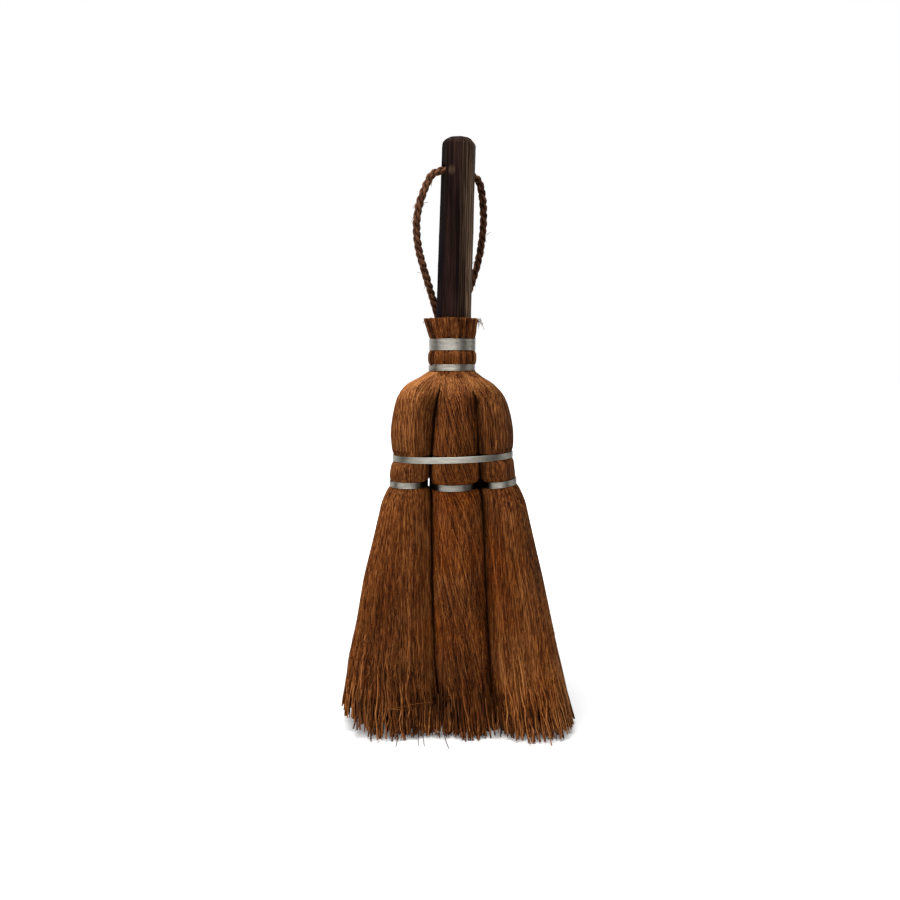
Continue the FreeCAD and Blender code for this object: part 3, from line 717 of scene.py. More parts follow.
def neck_outline(side, middle_x, radius, half_gap):
    """One bundle's share of the round collar: the middle slice, or a side's segment."""
    cosine = np.cos(GUIDE_ANGLES)
    sine = np.sin(GUIDE_ANGLES)
    if side == "middle":
        x = half_gap * cosine
        y = np.sign(sine) * np.sqrt(radius ** 2 - x ** 2) * eased(np.abs(sine) / 0.4)
        return middle_x + x, y
    facing = -1.0 if side == "left" else 1.0
    reach = math.acos(half_gap / radius)
    turn = np.arctan2(sine, facing * cosine) * reach / (math.pi / 2)
    outer = facing * cosine > 0
    x = np.where(outer, radius * np.cos(turn), half_gap)
    y = np.where(outer, radius * np.sin(turn), radius * math.sin(reach) * sine)
    return middle_x + facing * x, y


def bundle_surface(side):
    """Places on one bundle's outline, row by row from the collar to the floor, and its axis."""
    heights = np.linspace(BUNDLE_TOP, 0.0, GUIDE_ROWS)
    middle_x, half_width, half_depth = bundle_profile(side, heights)
    tight = PRESS * (1.0 + 1.2 * rising(heights, 192.0, 212.0))
    left_press = {"left": 0.0, "middle": PRESS, "right": tight}[side]
    right_press = {"left": PRESS, "middle": tight, "right": 0.0}[side]
    middle_x = (middle_x + (right_press - left_press) / 2)[:, None]
    half_width = half_width + (right_press + left_press) / 2
    cosine = np.cos(GUIDE_ANGLES)
    sine = np.sin(GUIDE_ANGLES)
    bow = 2.0 / (2.15 + 2.6 * rising(heights, 222.0, 246.0))[:, None]
    x = middle_x + half_width[:, None] * np.sign(cosine) * np.abs(cosine) ** bow
    y = half_depth[:, None] * np.sign(sine) * np.abs(sine) ** bow

    roughness = np.empty_like(x)
    offset = 7.0 * SIDES.index(side)
    for row, height in enumerate(heights):
        for column in range(GUIDE_COLUMNS):
            spot = Vector((1.5 * cosine[column] + offset, 1.5 * sine[column], 22.0 * height))
            roughness[row, column] = noise.noise(spot)
    roughness[:, GUIDE_COLUMNS] = roughness[:, 0]
    swell = roughness * (0.5 * MM + 0.5 * MM * rising(heights, 170.0, 50.0))[:, None]
    share = 1.0 + swell / np.hypot(x - middle_x, y)
    x = middle_x + (x - middle_x) * share
    y = y * share

    radius = bpy.context.scene.broom_wire.radius
    tilt = np.zeros_like(x)
    for name, width in ((side + "_tie_wire", 3.5 * MM), ("waist_band_wire", 3.6 * MM)):
        oval = binding_oval(name)
        weight = np.exp(-((heights - oval[0].z) / width) ** 4)
        x, y = drawn_in(x, y, oval, radius + 0.25 * MM, weight[:, None])
        lean = WIRES[name][-1] * np.exp(-((heights - oval[0].z) / (12.0 * MM)) ** 2)
        tilt = tilt + lean[:, None] * (x - oval[0].x)

    collar, collar_radius, _ = binding_oval("lower_collar_wire")
    low, high = section_box([solid_edges("middle_wrap")], NECK_SECTION)
    neck_x, neck_y = neck_outline(side, collar.x, collar_radius - radius, (high[0] - low[0]) / 2)
    join = (np.clip((heights - NECK_START) / (NECK_END - NECK_START), 0.0, 1.0) ** 2.2)[:, None]
    x = x + (neck_x - x) * join
    y = y + (neck_y - y) * join

    low, high = SOLID_BOX
    edge = np.where(x[-1] > 0, high.x - x[-1], x[-1] - low.x)
    trim = np.where(x[-1] > 0, RIGHT_TRIM, LEFT_TRIM) * np.clip(1.0 - edge / TRIM_RUN, 0.0, 1.0)
    y = y + FOOT_LEAN[side] * rising(heights, 60.0, 0.0)[:, None]
    z = heights[:, None] + tilt + trim * rising(heights, 75.0, 0.0)[:, None]

    axis = np.stack((x[:, :-1].mean(axis=1), y[:, :-1].mean(axis=1), heights), axis=1)
    return np.stack((x, y, z), axis=2), axis


def collar_surface():
    """Places on the collar's outline, row by row from the rim down, and its axis."""
    solids = [solid_edges(side + "_wrap") for side in SIDES]
    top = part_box("middle_wrap")[1].z
    heights = np.linspace(top, COLLAR_FOOT, COLLAR_ROWS)
    rows = []
    for height in np.arange(COLLAR_LEVEL, top - 0.1 * MM, 0.4 * MM):
        low, high = section_box(solids, height)
        rows.append((height, (high[0] - low[0]) / 2, (low[0] + high[0]) / 2))
    rows = np.array(rows)
    radius = smoothed(np.interp(heights[::-1], rows[:, 0], rows[:, 1]), 1.0)[::-1]
    seat = binding_oval("lower_collar_wire")[1]
    flare = eased((heights - FLARE_FOOT) / (top - FLARE_FOOT))
    middle_x = rows[:, 2].mean() + COLLAR_SHIFT + RIM_SHIFT * flare
    bulge = np.sin(math.pi * np.clip((heights - 269.0 * MM) / (13.0 * MM), 0.0, 1.0))
    radius = radius + 0.5 * MM + 0.7 * MM * bulge
    ring = rising(heights, 252.0, 253.0) * rising(heights, 263.5, 262.5)
    radius = np.minimum(radius, radius.max() * (1.0 - ring) + (seat + 0.75 * MM) * ring)
    x = middle_x[:, None] + radius[:, None] * np.cos(GUIDE_ANGLES)
    y = radius[:, None] * np.sin(GUIDE_ANGLES)
    heights = heights + RIM_LIFT * flare
    z = np.repeat(heights[:, None], len(GUIDE_ANGLES), axis=1)
    axis = np.stack((middle_x, np.zeros_like(heights), heights), axis=1)
    return np.stack((x, y, z), axis=2), axis


def common_surface(bundles, rows):
    """The outline round all three bundles together, over some rows of their guides, and its axis."""
    facing = np.stack((np.cos(GUIDE_ANGLES), np.sin(GUIDE_ANGLES)), axis=1)
    middle_x = binding_oval("lower_collar_wire")[0].x
    places = []
    axis = []
    for row in rows:
        level = np.concatenate([surface[row] for surface in bundles])
        flat = [Vector((place[0] - middle_x, place[1])) for place in level]
        ring = np.array([flat[corner] for corner in geometry.convex_hull_2d(flat)])
        step = np.roll(ring, -1, axis=0) - ring
        normal = np.stack((step[:, 1], -step[:, 0]), axis=1)
        outward = normal @ facing.T
        reach = (normal * ring).sum(axis=1)[:, None] / np.maximum(outward, LEAST)
        reach = np.where(outward > LEAST, reach, FAR).min(axis=0)
        height = level[:, 2].mean()
        places.append(np.column_stack((middle_x + reach * facing[:, 0], reach * facing[:, 1],
                                       np.full(len(facing), height))))
        axis.append((middle_x, 0.0, height))
    return np.array(places), np.array(axis)


def nearness(surface, others):
    """How near each spot of one bundle lies to its neighbours, as painted shade: 1 where they touch, 0 a few
    mm away.
    """
    near = np.zeros(surface.shape[:2])
    for other in others:
        for row, ring in enumerate(surface):
            gaps = np.linalg.norm(ring[:, None, :2] - other[row, None, :, :2], axis=2).min(axis=1)
            height = ring[0, 2]
            reach = 3.6 * MM + 3.0 * MM * math.exp(-((height - 174.0 * MM) / (8.0 * MM)) ** 2)
            shallow = 0.6 * rising(height, 196.0, 216.0)
            reach = reach * np.where(ring[:, 0] > 0, 1.0 - shallow, 1.0)
            near[row] = np.maximum(near[row], eased(1.0 - gaps / reach))
    return near


def bundle_gaps():
    """Where the left and the right gap between the bundles' ties lie, along x."""
    left, middle, right = (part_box(side + "_tie_wire") for side in SIDES)
    return (left[1].x + middle[0].x) / 2, (middle[1].x + right[0].x) / 2


def guide_mesh(name, surface, axis, deep=0.0):
    """A surface that strands are laid on: its UV map, and at each point its axis and its painted shade."""
    rows, columns, _ = surface.shape
    faces = []
    for row in range(rows - 1):
        for column in range(columns - 1):
            corner = row * columns + column
            faces.append((corner, corner + columns, corner + columns + 1, corner + 1))
    mesh = bpy.data.meshes.new(name)
    mesh.from_pydata(surface.reshape(-1, 3).tolist(), [], faces)
    across, down = np.meshgrid(np.linspace(0.0, 1.0, columns), np.linspace(0.0, 1.0, rows))
    spots = np.stack((across, down), axis=2).reshape(-1, 2)
    corners = field(mesh.loops, "vertex_index", 1, int)[:, 0]
    mesh.uv_layers.new(name="guide").data.foreach_set("uv", spots[corners].ravel())
    store(mesh, "axis", np.repeat(axis, columns, axis=0).ravel(), "FLOAT_VECTOR", "vector")
    store(mesh, "deep", np.broadcast_to(deep, (rows, columns)).ravel())
    return mesh


def closed_skin(name, rings, material, deep=0.0):
    """A closed piece of fibre through rings of points, with a cap at each end."""
    rows, columns, _ = rings.shape
    form = bmesh.new()
    corners = [[form.verts.new(place) for place in ring] for ring in rings.tolist()]
    for row in range(rows - 1):
        for column in range(columns):
            following = (column + 1) % columns
            form.faces.new((corners[row][column], corners[row + 1][column],
                            corners[row + 1][following], corners[row][following]))
    for ring in (0, rows - 1):
        middle = form.verts.new(rings[ring].mean(axis=0).tolist())
        for column in range(columns):
            form.faces.new((corners[ring][column], corners[ring][(column + 1) % columns], middle))
    bmesh.ops.recalc_face_normals(form, faces=form.faces)
    mesh = mesh_of(name, form)
    # The painted shade at each point; the caps get none.
    store(mesh, "deep", np.append(np.broadcast_to(deep, (rows, columns)).ravel(), (0.0, 0.0)))
    return fibre_piece(smooth_piece(name, mesh, material))


def link_piece(name, mesh):
    """Put a mesh, curve or lamp into the scene."""
    piece = bpy.data.objects.new(name, mesh)
    bpy.context.collection.objects.link(piece)
    return piece


def smooth_piece(name, mesh, material):
    """A piece with one material and a smooth look."""
    mesh.materials.append(material)
    mesh.shade_smooth()
    return link_piece(name, mesh)


def settled(piece):
    """Turn a piece with modifiers into a plain mesh."""
    bpy.context.view_layer.update()
    view = bpy.context.evaluated_depsgraph_get()
    shown = piece.evaluated_get(view)
    mesh = bpy.data.meshes.new_from_object(shown, preserve_all_data_layers=True, depsgraph=view)
    if len(mesh.vertices) == 0:
        raise RuntimeError("nothing was made for " + piece.name)
    piece.modifiers.clear()
    piece.data = mesh
    return piece


def grown(name, mesh, tree, values):
    """Run a node tree on a mesh with the given inputs, and keep the result as a plain piece."""
    piece = link_piece(name, mesh)
    modifier = piece.modifiers.new("nodes", "NODES")
    modifier.node_group = tree
    for item in tree.interface.items_tree:
        if item.in_out == "INPUT" and item.name in values:
            modifier[item.identifier] = values[item.name]
    return settled(piece)


def ridden(piece, body):
    """Let a piece ride on a body."""
    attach(piece, body)
    return piece


def fibre_piece(piece):
    """Let a piece of palm fibre ride on the broom."""
    return ridden(piece, BROOM_BODY)


def cord_piece(piece):
    """Let a piece of cord ride on the hanging loop."""
    return ridden(piece, LOOP_BODY)


def lay_strands(name, guide, material, values):
    """Lay strands of palm fibre down a guide, as one piece of the broom."""
    tree = bpy.data.node_groups.get(STRAND_TREE) or strand_tree()
    return fibre_piece(grown(name, guide, tree, {**PLAIN_STRAND, **values, "Material": material}))


def new_tree(title, inputs):
    """An empty geometry tree that makes one mesh: its wiring and its inputs."""
    tree = bpy.data.node_groups.new(title, "GeometryNodeTree")
    for kind, names in inputs.items():
        for name in names:
            tree.interface.new_socket(name=name, in_out="INPUT", socket_type="NodeSocket" + kind)
    tree.interface.new_socket(name="Mesh", in_out="OUTPUT", socket_type="NodeSocketGeometry")
    return Wiring(tree), tree.nodes.new("NodeGroupInput").outputs


def end_in_tubes(wire, curves, sides, radius, material):
    """Give a tree's curves a round section and a material, and end the tree with them."""
    ring = wire.add("GeometryNodeCurvePrimitiveCircle", {0: sides, 4: 1.0})
    tubes = wire.add("GeometryNodeCurveToMesh",
                     {"Curve": curves, "Profile Curve": ring, "Scale": radius, "Fill Caps": True})
    tubes = wire.add("GeometryNodeSetShadeSmooth", {"Geometry": tubes})
    tubes = wire.add("GeometryNodeRealizeInstances", {"Geometry": tubes})
    tubes = wire.add("GeometryNodeSetMaterial", {"Geometry": tubes, "Material": material})
    wire.feed(wire.tree.nodes.new("NodeGroupOutput").inputs[0], tubes)
    return wire.tree


def strand_tree():
    """Strands laid down a guide surface, each with its own place, length, bend, thickness, tint and painted
    shade.
    """
    wire, given = new_tree(STRAND_TREE, STRAND_INPUTS)
    line = wire.add("GeometryNodeCurvePrimitiveLine", {"Start": (0.0, 0.0, 0.0), "End": (0.0, 0.0, 1.0)})
    line = wire.add("GeometryNodeResampleCurve", {"Curve": line, "Count": given["Points"]})
    strands = wire.add("GeometryNodeDuplicateElements", {"Geometry": line, "Amount": given["Count"]},
                       domain="SPLINE")
    along = wire.add("GeometryNodeSplineParameter", {}, "Factor")
    number = wire.add("GeometryNodeCurveOfPoint", {}, "Curve Index")

    def chance(low, high, salt):
        """A random number for each strand."""
        feeds = {2: low, 3: high, 7: number, 8: wire.total(given["Seed"], salt)}
        return wire.add("FunctionNodeRandomValue", feeds, 1, data_type="FLOAT")

    start = wire.math("MULTIPLY_ADD", chance(0.0, 1.0, 11.0), given["From Spread"], given["From"])
    short = wire.math("POWER", chance(0.0, 1.0, 12.0), 1.6)
    end = wire.math("SUBTRACT", given["To"], wire.product(short, given["To Spread"]))
    reach = wire.math("MULTIPLY_ADD", chance(0.5, 1.0, 18.0), given["Length"], start)
    end = wire.math("MINIMUM", end, reach)
    down = wire.math("MAXIMUM", wire.between(along, start, end), 0.0005)
    down = wire.math("MINIMUM", down, 0.9995)

    place = wire.math("DIVIDE", wire.total(number, chance(0.0, 1.0, 13.0)), given["Count"])
    turned = wire.math("POWER", along, given["Twist Bend"])
    angle = wire.product(place, FULL_TURN)
    lock = wire.joined(wire.product(wire.math("COSINE", angle), 2.2),
                       wire.product(wire.math("SINE", angle), 2.2),
                       wire.math("MULTIPLY_ADD", down, 7.0, given["Seed"]))
    flow = wire.product(wire.uneven(lock), given["Flow"])
    own = wire.joined(wire.product(number, 3.7), wire.product(down, 14.0), given["Seed"])
    wander = wire.product(wire.uneven(own), given["Wander"])
    across = wire.math("MULTIPLY_ADD", turned, given["Twist"], place)
    slant = wire.product(chance(-1.0, 1.0, 19.0), given["Slant"])
    across = wire.math("MULTIPLY_ADD", wire.math("SUBTRACT", along, 0.5), slant, across)
    across = wire.math("FRACT", wire.total(across, wire.total(flow, wander)))

    spot = wire.add("GeometryNodeInputPosition", {})
    middle = wire.stored("axis", "FLOAT_VECTOR")
    chart = wire.stored("guide", "FLOAT_VECTOR")

    def read(value, u, v, kind="FLOAT_VECTOR"):
        """What the guide surface holds at one spot of its UV map."""
        return wire.add("GeometryNodeSampleUVSurface",
                        {"Mesh": given["Guide"], "Value": value, "UV Map": chart,
                         "Sample UV": wire.joined(u, v, 0.0)}, "Value", data_type=kind)

    depth = wire.math("POWER", chance(0.0, 1.0, 14.0), given["Depth Bend"])
    depth = wire.between(depth, given["Inner"], given["Outer"])

    def within(u, v):
        """The place under one spot of the surface, at the strand's own depth."""
        core = read(middle, u, v)
        return wire.vector("ADD", core, wire.scaled(wire.vector("SUBTRACT", read(spot, u, v), core), depth))

    laid = within(across, down)
    foot = within(wire.math("FRACT", wire.total(place, given["Twist"])), end)
    near = wire.add("ShaderNodeTexVoronoi",
                    {"Vector": foot, "Scale": wire.math("DIVIDE", 1.0, given["Clump Size"])},
                    "Position", voronoi_dimensions="2D")
    pull = wire.vector("MULTIPLY", wire.vector("SUBTRACT", near, foot), (1.0, 1.0, 0.0))
    pull = wire.scaled(pull, wire.product(given["Clump"], wire.product(along, along)))
    feeds = {0: (-0.6, -1.5, -0.3), 1: (0.6, 1.5, 0.3), 7: number, 8: wire.total(given["Seed"], 15.0)}
    aside = wire.add("FunctionNodeRandomValue", feeds, data_type="FLOAT_VECTOR")
    aside = wire.scaled(aside, wire.product(given["Splay"], wire.math("POWER", along, 2.5)))
    laid = wire.vector("ADD", wire.vector("ADD", laid, pull), aside)
    laid = wire.vector("MAXIMUM", laid, (-FAR, -FAR, 0.5 * MM))
    # Painted shade: strands near a neighbouring bundle, and strands that lie deeper inside, are darker.
    hidden = wire.math("MAXIMUM", read(wire.stored("deep", "FLOAT"), across, down, "FLOAT"),
                       wire.ranged(depth, 0.94, 0.55, 0.0, 0.8))
    for name, value in (("deep", hidden), ("tint", chance(0.0, 1.0, 17.0))):
        feeds = {"Geometry": strands, "Name": name, "Value": value}
        strands = wire.add("GeometryNodeStoreNamedAttribute", feeds, data_type="FLOAT", domain="POINT")
    strands = wire.add("GeometryNodeSetPosition", {"Geometry": strands, "Position": laid})

    thin = wire.between(wire.product(along, along), 1.0, given["Tip"])
    radius = wire.product(thin, given["Radius"], chance(0.65, 1.35, 16.0))
    return end_in_tubes(wire, strands, 3, radius, given["Material"])


def winding_tree():
    """Tight turns of wire round an oval, a little uneven as wound by hand."""
    wire, given = new_tree("Wire winding", WINDING_INPUTS)
    pitch = wire.product(given["Wire Radius"], 2.06)
    tall = wire.product(pitch, given["Turns"])
    turns = wire.add("GeometryNodeCurveSpiral",
                     {"Resolution": 72, "Rotations": given["Turns"], "Start Radius": 1.0, "End Radius": 1.0,
                      "Height": tall})
    x, y, z = wire.parts(wire.add("GeometryNodeInputPosition", {}))
    uneven = wire.uneven(wire.joined(wire.product(x, 1.6), wire.product(y, 1.6),
                                     wire.math("MULTIPLY_ADD", z, 900.0, given["Seed"])))
    loose = wire.product(uneven, 0.07 * MM)
    wide = wire.product(x, wire.total(given["Half Width"], loose))
    deep = wire.product(y, wire.total(given["Half Depth"], loose))
    rise = wire.math("SUBTRACT", z, wire.product(tall, 0.5))
    rise = wire.math("MULTIPLY_ADD", wide, given["Slope"], rise)
    rise = wire.math("MULTIPLY_ADD", uneven, 0.10 * MM, rise)
    laid = wire.vector("ADD", wire.joined(wide, deep, rise), given["Middle"])
    turns = wire.add("GeometryNodeSetPosition", {"Geometry": turns, "Position": laid})
    return end_in_tubes(wire, turns, 8, given["Wire Radius"], given["Material"])


class TubeMaker:
    """Collects thin tubes along lines, each with its own tint, into one mesh."""

    def __init__(self):
        self.places = []
        self.faces = []
        self.tints = []

    def add(self, line, radius, sides, tint):
        """Add one closed tube; its radius and tint are one number, or one for each point."""
        line = np.asarray(line, dtype=float)
        first, second = line_frames(line)[1:]
        radius = np.broadcast_to(radius, len(line))[:, None, None]
        angles = (np.arange(sides) * 2.0 * math.pi / sides)[None, :, None]
        ring = np.cos(angles) * first[:, None, :] + np.sin(angles) * second[:, None, :]
        start = len(self.places)
        rings = line[:, None, :] + radius * ring
        self.places.extend(rings.reshape(-1, 3).tolist())
        for row in range(len(line) - 1):
            for side in range(sides):
                corner = start + row * sides + side
                beside = start + row * sides + (side + 1) % sides
                self.faces.append((corner, beside, beside + sides, corner + sides))
        last = start + (len(line) - 1) * sides
        self.faces.append(tuple(start + side for side in reversed(range(sides))))
        self.faces.append(tuple(last + side for side in range(sides)))
        self.tints.extend(np.broadcast_to(tint, len(line)).repeat(sides).tolist())

    def hair(self, line, thick, thin, tint):
        """Add one hair that goes from one radius to another, both in mm."""
        self.add(line, np.linspace(thick, thin, len(line)) * MM, HAIR_SIDES, tint)

    def piece(self, name, material):
        """Make the piece."""
        mesh = bpy.data.meshes.new(name)
        mesh.from_pydata(self.places, [], self.faces)
        store(mesh, "tint", self.tints)
        return smooth_piece(name, mesh, material)


def line_frames(line):
    """Directions along a line and two directions across it, carried along without twist."""
    along = np.gradient(line, axis=0)
    along /= np.linalg.norm(along, axis=1)[:, None]
    side = np.cross(along[0], (0.0, 0.0, 1.0))
    if np.linalg.norm(side) < 1e-3:
        side = np.cross(along[0], (0.0, 1.0, 0.0))
    across = np.empty_like(along)
    for step, direction in enumerate(along):
        side = side - direction * side.dot(direction)
        side = side / np.linalg.norm(side)
        across[step] = side
    return along, across, np.cross(along, across)


def run_along(line):
    """How far along a line each of its points lies."""
    steps = np.linalg.norm(np.diff(line, axis=0), axis=1)
    return np.concatenate(((0.0,), np.cumsum(steps)))


def wound(line, radius, lay, phase):
    """A line that winds round another one: a left-hand lay where the lay length is positive."""
    _, first, second = line_frames(line)
    angle = phase - FULL_TURN * run_along(line) / lay
    return line + radius * (np.cos(angle)[:, None] * first + np.sin(angle)[:, None] * second)


def even_line(line, step):
    """A line with its points an even step apart."""
    run = run_along(line)
    count = max(3, int(round(run[-1] / step)) + 1)
    spots = np.linspace(0.0, run[-1], count)
    return np.stack([np.interp(spots, run, line[:, part]) for part in range(3)], axis=1)


def spline_line(name, points):
    """Points along a smooth spline whose control points are given."""
    curve = bpy.data.curves.new(name, "CURVE")
    curve.dimensions = "3D"
    curve.resolution_u = 24
    spline = curve.splines.new("NURBS")
    spline.points.add(len(points) - 1)
    for control, place in zip(spline.points, points):
        control.co = (*place, 1.0)
    spline.order_u = 3
    spline.use_endpoint_u = True
    route = link_piece(name, curve)
    bpy.context.view_layer.update()
    mesh = bpy.data.meshes.new_from_object(route)
    line = np.array([vertex.co for vertex in mesh.vertices])
    bpy.data.objects.remove(route)
    bpy.data.curves.remove(curve)
    bpy.data.meshes.remove(mesh)
    return line


def add_rope(tubes, line, diameter, lay, rng):
    """Three plies of five yarns each, twisted together along a line, with painted shade in the grooves."""
    line = even_line(line, CORD_STEP)
    ply_radius = 0.26 * diameter
    yarn_radius = 0.12 * diameter
    ply_offset = 0.31 * diameter
    for ply in range(3):
        centre = wound(line, ply_offset, lay, math.pi * ply / 1.5)
        for yarn in range(5):
            start = math.pi * yarn / 2.5 + 0.4 * ply
            path = wound(centre, ply_radius - 0.85 * yarn_radius, -0.55 * lay, start)
            proud = np.linalg.norm(path - line, axis=1) / (ply_offset + ply_radius)
            waves = rng.uniform(0.0, 6.28, 2)
            run = np.arange(len(path))
            bulge = 1.0 + 0.18 * np.sin(run * 0.37 + waves[0]) + 0.14 * np.sin(run * 0.83 + waves[1])
            shade = np.clip(rng.uniform(0.0, 1.0) + 0.15 * np.sin(run * 0.21 + waves[1]), 0.0, 1.0)
            # Painted shade: yarns that lie near the cord's middle line, in its grooves, are darker.
            shade = shade + 1.4 * np.clip(proud - 0.62, -0.5, 0.25)
            tubes.add(path, yarn_radius * bulge, 5, np.clip(shade, 0.0, 1.2))


def loop_point(along, down):
    """A place in the plane of the hanging loop."""
    joint = frame["joints"][0]
    across = Vector(joint["axis"])
    back = HANDLE_UP.cross(across)
    fall = back * math.sin(LOOP_TILT) - HANDLE_UP * math.cos(LOOP_TILT)
    return Vector(joint["pos_m"]) + across * along + fall * down


class BROOM_OT_cord(bpy.types.Operator):
    """Twist the hanging cord along its route, tie its knot and add its loose hairs"""

    bl_idname = "broom.cord"
    bl_label = "Hanging cord"

    def execute(self, context):
        settings = context.scene.broom_cord
        material = cord_material(settings)
        rng = np.random.default_rng(CORD_SEED)
        line = spline_line("cord_route", [loop_point(*spot) for spot in CORD_ROUTE])
        tubes = TubeMaker()
        add_rope(tubes, line, settings.diameter, settings.lay, rng)
        rope = cord_piece(tubes.piece("twisted_cord", material))
        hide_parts("hanging_cord")
        knot = cord_piece(self.knot(settings, material, rng))
        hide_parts("cord_knot")
        cord_piece(self.hairs(settings, material, line, rng))
        return {"FINISHED"}

    def knot(self, settings, material, rng):
        """Two turns of cord round both ends, and the two short tails."""
        middle = loop_point(*KNOT_PLACE)
        down = (loop_point(0.0, 1.0) - loop_point(0.0, 0.0)).normalized()
        side = (loop_point(1.0, 0.0) - loop_point(0.0, 0.0)).normalized()
        front = down.cross(side)
        turns = []
        for step in range(KNOT_STEPS):
            angle = step * KNOT_STEP_TURN
            reach = side * math.cos(angle) * 3.5 * MM + front * math.sin(angle) * 3.3 * MM
            turns.append(middle + reach + down * (step - KNOT_STEPS // 2) * 0.36 * MM)
        tubes = TubeMaker()
        add_rope(tubes, spline_line("knot_turns", turns), 0.92 * settings.diameter, settings.lay, rng)
        for number, end in enumerate(TAIL_ENDS):
            start = middle + side * (2.4 * number - 1.2) * MM
            route = spline_line("tail", [start, start + down * 5.0 * MM, loop_point(*end)])
            add_rope(tubes, route, 0.82 * settings.diameter, settings.lay, rng)
            for hair in range(TAIL_HAIRS):
                spread = rng.normal(0.0, 1.0, 3)
                fall = np.array(down) * rng.uniform(2.0, 5.0) * MM
                root = route[-1] + spread * 0.7 * MM - np.array(down) * 2.0 * MM
                path = np.linspace(root, root + fall + spread * 0.8 * MM, 4)
                tubes.hair(path, 0.22, 0.08, rng.uniform(0.2, 1.0))
        return tubes.piece("cord_end_knot", material)

    def hairs(self, settings, material, line, rng):
        """Loose hairs that stand out of the cord."""
        tubes = TubeMaker()
        line = even_line(line, CORD_STEP)
        along, first, second = line_frames(line)
        steps = np.linspace(0.0, 1.0, 6)[:, None]
        for hair in range(settings.hair_count):
            tuft = HAIR_TUFTS[hair % len(HAIR_TUFTS)]
            spot = int(np.clip(rng.normal(tuft, 0.035), 0.05, 0.95) * len(line))
            angle = rng.uniform(0.0, FULL_TURN)
            out = math.cos(angle) * first[spot] + math.sin(angle) * second[spot]
            root = line[spot] + out * 0.40 * settings.diameter
            run = along[spot] * rng.choice((-1.0, 1.0)) + rng.normal(0.0, 0.25, 3)
            length = rng.uniform(2.5, 6.0) * MM
            path = root + run * length * steps + out * length * rng.uniform(0.25, 0.6) * steps ** 1.5
            path[:, 2] -= 0.25 * length * steps[:, 0] ** 2
            tubes.hair(path, 0.23, 0.13, rng.uniform(0.0, 0.9))
        return tubes.piece("cord_hairs", material)


class BROOM_OT_handle(bpy.types.Operator):
    """Round off and whittle the wooden handle, and finish the nail and the pin"""

    bl_idname = "broom.handle"
    bl_label = "Handle, nail and pin"

    def execute(self, context):
        settings = context.scene.broom_wood
        form = bmesh.new()
        form.from_mesh(frame["nodes"]["handle"].data)
        bmesh.ops.remove_doubles(form, verts=form.verts, dist=0.01 * MM)
        piece = link_piece("whittled_handle", mesh_of("whittled_handle", form))
        remesh = piece.modifiers.new("even", "REMESH")
        remesh.mode = "VOXEL"
        remesh.voxel_size = 0.7 * MM
        soften = piece.modifiers.new("soften", "SMOOTH")
        soften.factor = 0.5
        soften.iterations = 2
        settled(piece)
        self.whittle(piece.data)
        piece.data.materials.clear()
        piece.data.materials.append(handle_material(settings))
        piece.data.shade_smooth()
        ridden(piece, BROOM_BODY)
        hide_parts("handle")
        finishes = {"bamboo_skewer": bamboo_material(settings), "handle_nail": brass_material(settings)}
        for name, finish in finishes.items():
            for slot in frame["nodes"][name].material_slots:
                slot.material = finish
        return {"FINISHED"}

    def whittle(self, mesh):
        """Round off the top of a mesh, and move its points by shallow cuts and lengthwise grain."""
        places = field(mesh.vertices, "co", 3)
        normals = field(mesh.vertices, "normal", 3)
        count = len(places)
        depth = np.empty(count)
        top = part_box("handle")[1].z
        end = np.clip((places[:, 2] - (top - ROUNDED_END)) / ROUNDED_END, 0.0, 1.0)
        middle_x = HANDLE_FOOT_X + (places[:, 2] - HANDLE_FOOT_Z) * math.tan(HANDLE_LEAN)
        middle = np.column_stack((middle_x, np.zeros(count), places[:, 2]))
        places = middle + (places - middle) * np.sqrt(1.0 - 0.55 * end ** 2)[:, None]
        places[:, 2] -= 1.6 * MM * end
        for number, place in enumerate(places):
            cut = noise.noise(Vector((place[0] * 90.0, place[1] * 90.0, place[2] * 22.0)))
            grain = noise.noise(Vector((place[0] * 700.0, place[1] * 700.0, place[2] * 18.0)))
            depth[number] = 0.25 * MM + 0.20 * MM * cut + 0.07 * MM * grain
        depth += 0.7 * MM * np.clip(normals[:, 0], 0.0, 1.0) * (1.0 - end)
        mesh.vertices.foreach_set("co", (places + normals * depth[:, None]).ravel())
        mesh.update()


